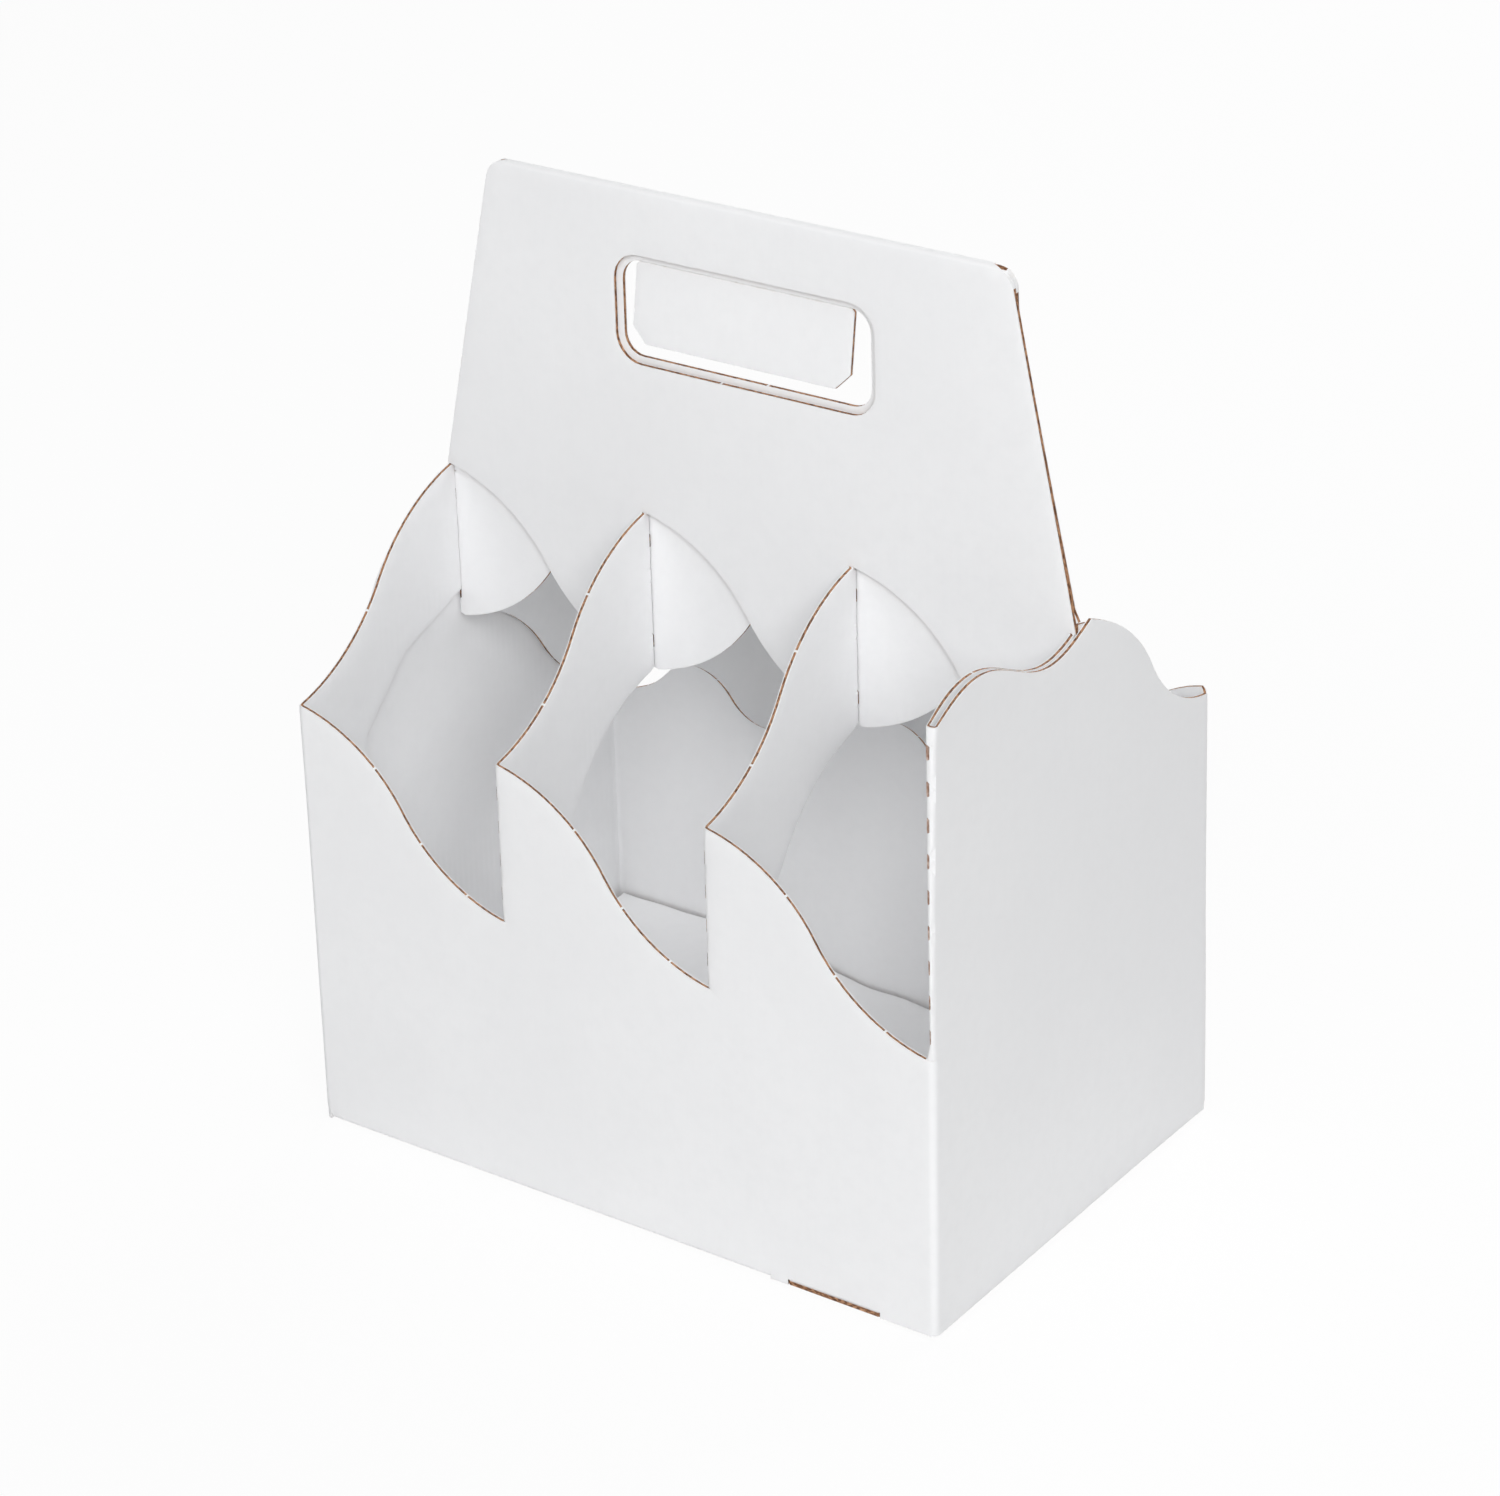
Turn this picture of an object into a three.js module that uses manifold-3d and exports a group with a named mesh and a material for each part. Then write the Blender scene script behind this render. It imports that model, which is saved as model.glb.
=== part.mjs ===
// Six-bottle carrier of white micro-flute board: one die-cut sheet, folded and glued into a
// basket of 3 x 2 cells with a handle up the middle, and the hand flap that swings in the handle.
// Millimetres, +Z up, the front towards -Y, the origin on the ground under the middle.
import * as THREE from 'three';
import { mergeVertices } from 'three/addons/utils/BufferGeometryUtils.js';
import Module from 'manifold-3d';

const wasm = await Module();
wasm.setup();

// ---- Driving dimensions ----

// Board
const BOARD = 1.5; // thickness of the board
const FOLD_INNER = 0.5; // radius inside every square fold
const LINER_GAP = 0.3; // air left in the folded-over end wall

// Basket
const WIDTH = 208.5; // over the end walls, at the ground
const DEPTH = 143; // over the long walls
const CELLS = 3; // cells along each long wall
const LOW_EDGE = 83; // lowest point of the scooped walls
const SCOOP = 47; // rise of every S-shaped cut
const SCOOP_END_ANGLE = 12; // degrees from level at both ends of an S-shaped cut
const EDGE_SETBACK = 2.2; // free edge of an end wall, back from the corner it is glued at

// Doubled half of an end wall, which springs open at its top and is wavy along it
const SPRING = 2; // how far its top front corner stands out
const WAVE_RISE = 5.6; // crest above the peak level
const PEAK_PAST_MIDDLE = 4; // where the wave ends and the scoop starts

// Glue flap inside the single half of an end wall
const GLUE_FLAP = 27; // width of its lower part
const GLUE_FOOT = 3; // height of its foot above the ground
const GLUE_SHOULDER = 22; // where its slanted edge turns level, from the middle
const GLUE_SHOULDER_DROP = 1.5; // the shoulder below the tops of the posts
const GLUE_TIP_RISE = 8; // lower edge at its inner end, above the tops of the posts
const GLUE_END_CLEARANCE = 0.5; // to the handle

// Handle
const HANDLE_HEIGHT = 269.5; // top fold above the ground
const HANDLE_TOP_WIDTH = 164.6; // between the sloping sides, at the top fold
const HANDLE_CORNER = 7; // radius of the top corners

// Hand hole: the back layer's hole has the flap, and the front layer's is larger all round
const HOLE_WIDTH = 79.4;
const HOLE_HEIGHT = 27;
const HOLE_DROP = 20.6; // its top edge below the top fold
const HOLE_CORNER = 6;
const HOLE_MARGIN = 2; // the front layer's hole outside the back layer's
const HAND_FLAP_WIDTH = 69.5;
const HAND_FLAP_HEIGHT = 22;
const HAND_FLAP_CHAMFER = 4.5;
const HAND_FLAP_TILT = 8.6; // degrees that its lower edge hangs forward
const HINGE_GAP = 0.5; // between the flap and the hole's top edge

// Bottom: one flap from the back wall under the whole floor, one from the front wall on top of it
const FLOOR_CLEARANCE = 1; // around the bottom flaps
const TONGUE_WIDTH = 29; // lock tongue of the back wall's flap
const TONGUE_FROM_END = 32.25; // its middle from the right end wall
const TONGUE_SHOULDER = 5.25; // how much further left the arm that carries it reaches
const TONGUE_CLEARANCE = 0.5; // around it in its slot
const TONGUE_INSET = 0.2; // its end, behind the face of the front wall
const FLOOR_SPRING = 5.5; // how far the upper flap's free edge stands up
const FLOOR_LAP_CLEARANCE = 0.4; // between the two flaps where they overlap

// Perforation along the creases of the dividers and of the folded-over end wall
const SLIT_PITCH = 10;
const SLIT_LENGTH = 4.8;
const SLIT_WIDTH = 0.5;

// ---- Derived places ----

const FOLD_OUTER = FOLD_INNER + BOARD;
const POST_TOP = LOW_EDGE + SCOOP; // top of the posts that the dividers leave the wall at
const PEAK = POST_TOP + SCOOP; // where dividers and scoops meet the handle
const FRONT = -DEPTH / 2;
const RIGHT = WIDTH / 2;
const WALL_FOLD = FRONT + FOLD_OUTER; // where a fold at the front wall ends
const DOUBLE_FOLD = FRONT + BOARD; // inside of the sharp fold that doubles an end wall
const CENTRE_FOLD = -FOLD_OUTER; // where a fold at the handle starts
const FREE_EDGE = DEPTH / 2 - EDGE_SETBACK;
const GLUE_FACE = -RIGHT + BOARD; // outer face of the glue flap, on the left end wall
const LINER_FACE = RIGHT - 2 * BOARD - LINER_GAP; // inner face of the folded-over end wall
const PITCH = (LINER_FACE - GLUE_FACE) / CELLS;
const HANDLE_FOOT = LINER_FACE + BOARD; // half the handle's width at the peak level
const HOLE_TOP = HANDLE_HEIGHT - HOLE_DROP;
const HINGE_HEIGHT = HOLE_TOP - HINGE_GAP / 2;
const FLOOR_EDGE = RIGHT - 2 * BOARD - FLOOR_CLEARANCE; // half the width of the bottom flaps
const TONGUE_RIGHT = RIGHT - TONGUE_FROM_END + TONGUE_WIDTH / 2;
const TONGUE_LEFT = TONGUE_RIGHT - TONGUE_WIDTH;
const SLOT_LEFT = TONGUE_LEFT - TONGUE_CLEARANCE;
const SLOT_RIGHT = TONGUE_RIGHT + TONGUE_CLEARANCE;
const SLOT_TOP = BOARD + TONGUE_CLEARANCE;
const ARM_EDGE = TONGUE_LEFT - TONGUE_SHOULDER; // left edge of the tongue's arm
const UPPER_FLAP_EDGE = ARM_EDGE - FLOOR_CLEARANCE;
const UPPER_FLAP_END = DEPTH / 2 - BOARD - FLOOR_CLEARANCE;
const OVERCUT = 1; // how far a cutting solid runs past what it cuts
const ARC_STEPS = 8; // straight pieces in one half of an S-shaped cut
const WAVE_STEPS = 24;
const FOLD_STEPS = 5;
const SPRING_STEPS = 8; // straight pieces up the sprung wall
const CORNER_STEPS = 6;

// ---- Curves: lists of [across, up] points ----

const dividerFace = (index) => GLUE_FACE + index * PITCH;

// An S-shaped cut from one point to another: two equal arcs, close to level at both ends.
function scoop([startX, startZ], [endX, endZ]) {
  const across = Math.abs(endX - startX) / 2;
  const up = Math.abs(endZ - startZ) / 2;
  const chord = Math.atan2(up, across);
  const endAngle = Math.min(THREE.MathUtils.degToRad(SCOOP_END_ANGLE), chord / 2);
  const radius = Math.hypot(across, up) / (2 * Math.sin(chord - endAngle));
  const toEnd = Math.sign(endX - startX);
  const toTop = Math.sign(endZ - startZ);
  const half = [];
  for (let step = 0; step <= ARC_STEPS; step += 1) {
    const angle = endAngle + (2 * (chord - endAngle) * step) / ARC_STEPS;
    half.push([
      radius * (Math.sin(angle) - Math.sin(endAngle)),
      radius * (Math.cos(endAngle) - Math.cos(angle)),
    ]);
  }
  const first = half.map(([x, z]) => [startX + toEnd * x, startZ + toTop * z]);
  const second = half.map(([x, z]) => [endX - toEnd * x, endZ - toTop * z]).reverse();
  return [...first.slice(0, -1), ...second];
}

// Height of the wavy top edge at a distance along the end wall.
function waveHeight(y) {
  const span = PEAK_PAST_MIDDLE - DOUBLE_FOLD;
  return PEAK + WAVE_RISE * Math.sin((2 * Math.PI * (y - DOUBLE_FOLD)) / span);
}

function wave(fromY, toY) {
  const points = [];
  for (let step = 0; step <= WAVE_STEPS; step += 1) {
    const y = fromY + ((toY - fromY) * step) / WAVE_STEPS;
    points.push([y, waveHeight(y)]);
  }
  return points;
}

// Points of an arc, angles in degrees.
function arc(centreX, centreZ, radius, from, to, steps) {
  const points = [];
  for (let step = 0; step <= steps; step += 1) {
    const angle = THREE.MathUtils.degToRad(from + ((to - from) * step) / steps);
    points.push([centreX + radius * Math.cos(angle), centreZ + radius * Math.sin(angle)]);
  }
  return points;
}

function roundedRectangle(left, bottom, right, top, radius) {
  return [
    ...arc(left + radius, bottom + radius, radius, 180, 270, CORNER_STEPS),
    ...arc(right - radius, bottom + radius, radius, 270, 360, CORNER_STEPS),
    ...arc(right - radius, top - radius, radius, 0, 90, CORNER_STEPS),
    ...arc(left + radius, top - radius, radius, 90, 180, CORNER_STEPS),
  ];
}

// ---- Solids ----

const AXES = {
  x: [new THREE.Vector3(0, 1, 0), new THREE.Vector3(0, 0, 1), new THREE.Vector3(1, 0, 0)],
  y: [new THREE.Vector3(1, 0, 0), new THREE.Vector3(0, 0, 1), new THREE.Vector3(0, -1, 0)],
  z: [new THREE.Vector3(1, 0, 0), new THREE.Vector3(0, 1, 0), new THREE.Vector3(0, 0, 1)],
};

function toSolid(geometry) {
  const bare = geometry.clone();
  bare.deleteAttribute('normal');
  bare.deleteAttribute('uv');
  const merged = mergeVertices(bare, 1e-5);
  return new wasm.Manifold(new wasm.Mesh({
    numProp: 3,
    vertProperties: new Float32Array(merged.attributes.position.array),
    triVerts: new Uint32Array(merged.index.array),
  }));
}

// A solid with one outline all along an axis. The outline is drawn in (Y, Z) for x,
// in (X, Z) for y and in (X, Y) for z.
function prism(axis, from, to, points) {
  const outline = new THREE.Shape(points.map(([u, v]) => new THREE.Vector2(u, v)));
  const geometry = new THREE.ExtrudeGeometry(outline, { depth: 1, bevelEnabled: false });
  const [across, up, along] = AXES[axis];
  const length = to - from;
  const placed = new THREE.Matrix4().makeBasis(across, up, along.clone().multiplyScalar(length));
  const start = axis === 'y' ? to : from;
  placed.setPosition(along.clone().multiplyScalar(start * (axis === 'y' ? -1 : 1)));
  return toSolid(geometry.applyMatrix4(placed));
}

function join(solids) {
  return solids.reduce((whole, next) => whole.add(next));
}

// A square fold along an axis: a quarter ring about the point [u, v], from one angle.
function fold(axis, from, to, [u, v], angle) {
  const outside = arc(u, v, FOLD_OUTER, angle, angle + 90, FOLD_STEPS);
  const inside = arc(u, v, FOLD_INNER, angle + 90, angle, FOLD_STEPS);
  return prism(axis, from, to, [...outside, ...inside]);
}

// Slits through an upright fold at [x, y], spread evenly between two heights.
function slits(from, to, [x, y], angle) {
  const count = Math.max(1, Math.floor((to - from) / SLIT_PITCH - 0.25));
  const first = (from + to - (count - 1) * SLIT_PITCH) / 2;
  const start = -LINER_GAP / 3;
  const reach = FOLD_OUTER + OVERCUT;
  const cuts = [];
  for (let index = 0; index < count; index += 1) {
    const slit = new THREE.BoxGeometry(reach, SLIT_WIDTH, SLIT_LENGTH);
    slit.translate(start + reach / 2, 0, 0);
    slit.rotateZ(THREE.MathUtils.degToRad(angle + 45));
    slit.translate(x, y, first + index * SLIT_PITCH);
    cuts.push(toSolid(slit));
  }
  return join(cuts);
}

function perforatedFold(from, to, centre, angle) {
  return fold('z', from, to, centre, angle).subtract(slits(from, to, centre, angle));
}

// ---- Panels of one half, drawn as the front half ----

// The scooped long wall. Its foot is raised where a bottom flap is hinged, from one
// place to another, and may have the slot for the lock tongue.
function longWall(hingeFrom, hingeTo, slotted) {
  const start = GLUE_FACE + FOLD_OUTER;
  const end = RIGHT - FOLD_OUTER;
  const foot = [
    [start, 0],
    [hingeFrom, 0],
    [hingeFrom, FOLD_OUTER],
    [hingeTo, FOLD_OUTER],
    [hingeTo, 0],
  ];
  if (slotted) {
    foot.push([SLOT_LEFT, 0]);
    foot.push(...arc(SLOT_LEFT + TONGUE_CLEARANCE, SLOT_TOP - TONGUE_CLEARANCE,
      TONGUE_CLEARANCE, 180, 90, CORNER_STEPS));
    foot.push(...arc(SLOT_RIGHT - TONGUE_CLEARANCE, SLOT_TOP - TONGUE_CLEARANCE,
      TONGUE_CLEARANCE, 90, 0, CORNER_STEPS));
    foot.push([SLOT_RIGHT, 0]);
  }
  foot.push([end, 0], [end, LOW_EDGE]);
  const top = [];
  for (let cell = CELLS - 1; cell >= 0; cell -= 1) {
    const left = cell === 0 ? start : dividerFace(cell) + FOLD_OUTER;
    top.push(...scoop([dividerFace(cell + 1), LOW_EDGE], [left, POST_TOP]));
    if (cell > 0) {
      top.push([left, LOW_EDGE]);
    }
  }
  return prism('y', FRONT, FRONT + BOARD, [...foot, ...top]);
}

// The glue flap folded back from the long wall's left end, inside the other half's end wall.
function glueFlap() {
  const inner = GLUE_FLAP + FRONT;
  const tip = -BOARD - GLUE_END_CLEARANCE;
  const shoulder = -GLUE_SHOULDER;
  const shoulderHeight = POST_TOP - GLUE_SHOULDER_DROP;
  const slantFoot = shoulderHeight - (shoulder - inner);
  return prism('x', GLUE_FACE, GLUE_FACE + BOARD, [
    [WALL_FOLD, GLUE_FOOT],
    [inner, GLUE_FOOT],
    [inner, slantFoot],
    [shoulder, shoulderHeight],
    [tip, POST_TOP + GLUE_TIP_RISE],
    ...scoop([tip, PEAK], [WALL_FOLD, POST_TOP]),
  ]);
}

// The right end wall, without the sprung part: flat in front, scooped behind.
function endWall() {
  return prism('x', RIGHT - BOARD, RIGHT, [
    [WALL_FOLD, 0],
    [FREE_EDGE, 0],
    ...scoop([FREE_EDGE, POST_TOP], [PEAK_PAST_MIDDLE, PEAK]),
    ...wave(PEAK_PAST_MIDDLE, 0).slice(1),
    [0, LOW_EDGE],
    [WALL_FOLD, LOW_EDGE],
  ]);
}

// The sprung part: the top of the wall's front half and the sharp fold that doubles it. The
// wall stands out more the higher and the further forward it is, and opens the fold.
function sprungWall() {
  const top = PEAK + WAVE_RISE;
  const plan = new THREE.Shape([
    [RIGHT - BOARD, 0],
    [RIGHT - BOARD, DOUBLE_FOLD],
    [LINER_FACE + BOARD, DOUBLE_FOLD],
    ...arc(LINER_FACE + BOARD, DOUBLE_FOLD, BOARD, 180, 270, FOLD_STEPS),
    ...arc(RIGHT - BOARD, DOUBLE_FOLD, BOARD, 270, 360, FOLD_STEPS),
    [RIGHT, 0],
  ].map(([x, y]) => new THREE.Vector2(x, y)));
  const geometry = new THREE.ExtrudeGeometry(plan, {
    depth: top - LOW_EDGE,
    steps: SPRING_STEPS,
    bevelEnabled: false,
  });
  const position = geometry.attributes.position;
  for (let index = 0; index < position.count; index += 1) {
    const height = position.getZ(index) / (top - LOW_EDGE);
    const forward = position.getY(index) / FRONT;
    if (position.getX(index) > RIGHT - BOARD - LINER_GAP / 2) {
      position.setX(index, position.getX(index) + SPRING * forward * height ** 2);
    }
    position.setZ(index, position.getZ(index) + LOW_EDGE);
  }
  const outline = prism('x', LINER_FACE - OVERCUT, RIGHT + SPRING + OVERCUT, [
    [FRONT - OVERCUT, LOW_EDGE],
    [0, LOW_EDGE],
    ...wave(0, DOUBLE_FOLD),
    [FRONT - OVERCUT, PEAK],
  ]);
  return toSolid(geometry)
    .intersect(outline)
    .subtract(slits(LOW_EDGE, PEAK, [LINER_FACE + BOARD, DOUBLE_FOLD], 180));
}

// The end wall's top folded over inside it, which runs back to the handle.
function endLiner() {
  const top = waveHeight(CENTRE_FOLD);
  return join([
    prism('x', LINER_FACE, LINER_FACE + BOARD, [
      ...scoop([DOUBLE_FOLD, LOW_EDGE], [CENTRE_FOLD, POST_TOP]),
      ...wave(CENTRE_FOLD, DOUBLE_FOLD),
    ]),
    perforatedFold(POST_TOP, top, [HANDLE_FOOT - FOLD_OUTER, CENTRE_FOLD], 0),
  ]);
}

// A divider: a band that leaves the long wall, rises and folds into the handle.
function divider(index) {
  const face = dividerFace(index);
  return join([
    prism('x', face, face + BOARD, [
      ...scoop([WALL_FOLD, LOW_EDGE], [CENTRE_FOLD, POST_TOP]),
      ...scoop([CENTRE_FOLD, PEAK], [WALL_FOLD, POST_TOP]),
    ]),
    perforatedFold(LOW_EDGE, POST_TOP, [face + FOLD_OUTER, WALL_FOLD], 180),
    perforatedFold(POST_TOP, PEAK, [face + BOARD - FOLD_OUTER, CENTRE_FOLD], 0),
  ]);
}

// One layer of the handle, with the scoops that its dividers were cut from.
function handleLayer() {
  const footTop = waveHeight(CENTRE_FOLD);
  const topHalf = HANDLE_TOP_WIDTH / 2;
  const slope = (HANDLE_FOOT - topHalf) / (HANDLE_HEIGHT - PEAK);
  const lean = THREE.MathUtils.radToDeg(Math.atan(slope));
  const cornerX = topHalf + slope * HANDLE_CORNER - HANDLE_CORNER / Math.cos(Math.atan(slope));
  const cornerZ = HANDLE_HEIGHT - HANDLE_CORNER;
  const below = [[-HANDLE_FOOT, PEAK]];
  for (let cell = 0; cell < CELLS; cell += 1) {
    const left = cell === 0 ? -HANDLE_FOOT : dividerFace(cell) + BOARD;
    const right = dividerFace(cell + 1) + BOARD - FOLD_OUTER;
    below.push(...scoop([left, PEAK], [right, POST_TOP]).slice(cell === 0 ? 1 : 0));
    below.push([right, cell === CELLS - 1 ? footTop : PEAK]);
  }
  return prism('y', -BOARD, 0, [
    ...below,
    [HANDLE_FOOT, footTop],
    ...arc(cornerX, cornerZ, HANDLE_CORNER, lean, 90, CORNER_STEPS),
    ...arc(-cornerX, cornerZ, HANDLE_CORNER, 90, 180 - lean, CORNER_STEPS),
  ]);
}

function half(hingeFrom, hingeTo, slotted) {
  const dividers = [];
  for (let index = 1; index < CELLS; index += 1) {
    dividers.push(divider(index));
  }
  return join([
    longWall(hingeFrom, hingeTo, slotted),
    fold('z', 0, POST_TOP, [GLUE_FACE + FOLD_OUTER, WALL_FOLD], 180),
    fold('z', 0, LOW_EDGE, [RIGHT - FOLD_OUTER, WALL_FOLD], 270),
    fold('x', hingeFrom, hingeTo, [WALL_FOLD, FOLD_OUTER], 180),
    glueFlap(),
    endWall(),
    sprungWall(),
    endLiner(),
    handleLayer(),
    ...dividers,
  ]);
}

// ---- Bottom flaps and hand hole ----

// The back wall's flap lies on the ground, with an arm and a tongue into the front wall's slot.
function lowerFlap() {
  const lap = WALL_FOLD
    + ((BOARD + FLOOR_LAP_CLEARANCE) / FLOOR_SPRING) * (UPPER_FLAP_END - WALL_FOLD);
  const armEnd = FRONT + BOARD + FLOOR_CLEARANCE;
  return prism('z', 0, BOARD, [
    [-FLOOR_EDGE, -WALL_FOLD],
    [-FLOOR_EDGE, lap],
    [ARM_EDGE, lap],
    [ARM_EDGE, armEnd],
    [TONGUE_LEFT, armEnd],
    [TONGUE_LEFT, FRONT + TONGUE_INSET],
    [TONGUE_RIGHT, FRONT + TONGUE_INSET],
    [TONGUE_RIGHT, armEnd],
    [FLOOR_EDGE, armEnd],
    [FLOOR_EDGE, -WALL_FOLD],
  ]);
}

// The front wall's flap lies over it, and its free edge stands up a little.
function upperFlap() {
  return prism('x', -FLOOR_EDGE, UPPER_FLAP_EDGE, [
    [WALL_FOLD, 0],
    [UPPER_FLAP_END, FLOOR_SPRING],
    [UPPER_FLAP_END, FLOOR_SPRING + BOARD],
    [WALL_FOLD, BOARD],
  ]);
}

// Cuts through one layer of the handle.
function handHole(fromY, toY, margin) {
  const side = HOLE_WIDTH / 2 + margin;
  const bottom = HOLE_TOP - HOLE_HEIGHT - margin;
  const top = HOLE_TOP + margin;
  return prism('y', fromY, toY, roundedRectangle(-side, bottom, side, top, HOLE_CORNER + margin));
}

// Takes the square edges off the top, where the sheet is folded over from layer to layer.
function topFoldCut() {
  const base = HANDLE_HEIGHT - BOARD;
  const wide = BOARD + OVERCUT;
  return prism('x', -RIGHT, RIGHT, [
    [-wide, base],
    ...arc(0, base, BOARD, 180, 0, 2 * FOLD_STEPS),
    [wide, base],
    [wide, HANDLE_HEIGHT + OVERCUT],
    [-wide, HANDLE_HEIGHT + OVERCUT],
  ]);
}

function carton() {
  const front = half(-FLOOR_EDGE, UPPER_FLAP_EDGE, true);
  const back = half(-FLOOR_EDGE, FLOOR_EDGE, false).rotate([0, 0, 180]);
  return join([front, back, lowerFlap(), upperFlap()])
    .subtract(handHole(-BOARD - OVERCUT, 0, HOLE_MARGIN))
    .subtract(handHole(0, BOARD + OVERCUT, 0))
    .subtract(topFoldCut());
}

// The hand flap, hinged at the back of the back layer and hanging a little forward.
function handFlap() {
  const side = HAND_FLAP_WIDTH / 2;
  const drop = -HINGE_GAP / 2;
  const bottom = drop - HAND_FLAP_HEIGHT;
  return prism('y', -BOARD, 0, [
    [-side, drop],
    [-side, bottom + HAND_FLAP_CHAMFER],
    [-side + HAND_FLAP_CHAMFER, bottom],
    [side - HAND_FLAP_CHAMFER, bottom],
    [side, bottom + HAND_FLAP_CHAMFER],
    [side, drop],
  ]);
}

// ---- Scene graph ----

function whiteBoard() {
  return new THREE.MeshStandardMaterial({ color: 0xe9ebed, roughness: 0.8, metalness: 0 });
}

function meshOf(name, solid) {
  const { vertProperties, triVerts } = solid.getMesh();
  const geometry = new THREE.BufferGeometry();
  geometry.setAttribute('position', new THREE.BufferAttribute(vertProperties, 3));
  geometry.setIndex(new THREE.BufferAttribute(triVerts, 1));
  geometry.computeVertexNormals();
  const mesh = new THREE.Mesh(geometry, whiteBoard());
  mesh.name = name;
  return mesh;
}

const carrier = new THREE.Group();
carrier.add(meshOf('carton', carton()));

const hinge = new THREE.Group();
hinge.position.set(0, BOARD, HINGE_HEIGHT);
hinge.rotation.x = THREE.MathUtils.degToRad(-HAND_FLAP_TILT);
hinge.add(meshOf('hand_flap', handFlap()));
carrier.add(hinge);

export default carrier;
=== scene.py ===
import math

import bmesh
import bpy
import numpy as np
from mathutils import Matrix, Vector, geometry, noise


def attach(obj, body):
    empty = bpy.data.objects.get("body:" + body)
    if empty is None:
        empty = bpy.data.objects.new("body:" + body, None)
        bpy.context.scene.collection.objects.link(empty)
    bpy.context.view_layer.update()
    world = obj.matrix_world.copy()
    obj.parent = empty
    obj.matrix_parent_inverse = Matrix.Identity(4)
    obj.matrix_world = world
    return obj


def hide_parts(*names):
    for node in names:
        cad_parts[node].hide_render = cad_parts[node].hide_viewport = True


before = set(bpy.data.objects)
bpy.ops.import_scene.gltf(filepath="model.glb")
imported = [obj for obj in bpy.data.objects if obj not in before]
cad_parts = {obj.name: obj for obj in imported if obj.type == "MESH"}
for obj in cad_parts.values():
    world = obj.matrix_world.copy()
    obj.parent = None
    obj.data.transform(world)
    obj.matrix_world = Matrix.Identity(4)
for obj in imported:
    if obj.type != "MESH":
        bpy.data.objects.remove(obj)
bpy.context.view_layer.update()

# ---- Long walls, with their glue flaps and end walls ----
# The carrier is one die-cut sheet of white-lined micro-flute board. Its back half is its
# front half turned half a turn, but for small trims. Each half's run of wall goes from the
# glue flap inside one end, along the long wall and round the other end. Lengths are in mm.

WHITE, BROWN, TORN = 0, 1, 2  # slots of the materials: liner, fluted core, torn slit
BOARD, FOLD_INNER, LINER_THICKNESS = 1.5, 0.5, 0.25
FOLD_OUTER = FOLD_INNER + BOARD
EDGE_CRUSH, CRUSH_WIDTH = 0.13, 0.8  # the die presses each liner in along a cut edge
CREASE_PRESS, BEAD = 0.2, 0.9  # depth and half-width of the beads inside a fold
WIDEST_PLAIN_FOLD = 1.9  # a fold of a larger radius is creased, and has beads
SHARPEST_FOLD = 0.35  # a fold takes at least this radius of board along the way
GLUE_LINE = 0.03
NICK, CORNER_NICK = 0.65, 0.2

GRID, EDGE_STEP = 4.0, 1.6  # spacing of the mesh over flat board and along cut edges
JOIN_GAP, GRID_GAP, CUT_GAP = 0.3, 0.12, 0.05  # least gaps between the mesh's points
ROW_CLEAR, GRID_CLEAR = 0.85, 1.25  # least gaps from a cut edge, in crushed widths
SLIT_POINT, SLIT_BOTTOM = 0.5, 0.6  # how far from its ends a slit narrows, and reaches its depth
NEEDLE = 0.01  # a triangle that is less high than this is a needle

WIDTH, DEPTH, CELLS = 208.5, 143.0, 3
LOW_EDGE, SCOOP, SCOOP_END_ANGLE = 83.0, 47.0, 12.0
POST_TOP = LOW_EDGE + SCOOP
PEAK = POST_TOP + SCOOP
WAVE_RISE, PEAK_PAST_MIDDLE = 5.6, 4.0
FRONT, RIGHT = -DEPTH / 2, WIDTH / 2
WALL_FOLD, DOUBLE_FOLD = FRONT + FOLD_OUTER, FRONT + BOARD
FREE_EDGE = DEPTH / 2 - 4.2
LINER_GAP = 0.3
GLUE_FACE, LINER_FACE = -RIGHT + BOARD, RIGHT - 2 * BOARD - LINER_GAP
PITCH = (LINER_FACE - GLUE_FACE) / CELLS

SPRING, FLARE = 0.6, 0.35  # how far the doubled end stands out, at its corner and at its top
FOLD_CRUSH, CRUSH_EASED = 0.52, 0.28  # share of thickness lost beside its fold, less at the top
GLUE_FLAP, GLUE_FOOT, GLUE_END_GAP, GLUE_PEAK_DROP = 27.0, 3.0, 0.12, 0.5
GLUE_SHOULDER, GLUE_SHOULDER_DROP, GLUE_TIP_RISE = 26.0, 1.5, 8.0
FRONT_TRIMS = 2.2, 0.0, 0.0, 0.0  # how much lower the S, its start, its peak and the fold are cut
BACK_TRIMS = 4.4, 1.2, 2.6, 1.9
LOW_PEAK_REACH = 13.0  # how far past the peak the back half's wave stays low
LAST_SCOOP_DIP, DIP_FROM, DIP_RUN, DIP_END = 4.5, 70.0, 20.0, 4.5  # the back wall's last scoop

FLOOR_CLEARANCE, TONGUE_CLEARANCE, TONGUE_WIDTH = 0.55, 0.2, 29.0
FLOOR_EDGE = RIGHT - 2 * BOARD - FLOOR_CLEARANCE
TONGUE_RIGHT = RIGHT - 32.25 + TONGUE_WIDTH / 2
TONGUE_LEFT = TONGUE_RIGHT - TONGUE_WIDTH
SLOT_LEFT, SLOT_RIGHT = TONGUE_LEFT - TONGUE_CLEARANCE, TONGUE_RIGHT + TONGUE_CLEARANCE
SLOT_TOP, ARM_EDGE = BOARD + TONGUE_CLEARANCE, TONGUE_LEFT - 5.25
UPPER_FLAP_EDGE = ARM_EDGE - FLOOR_CLEARANCE


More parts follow.
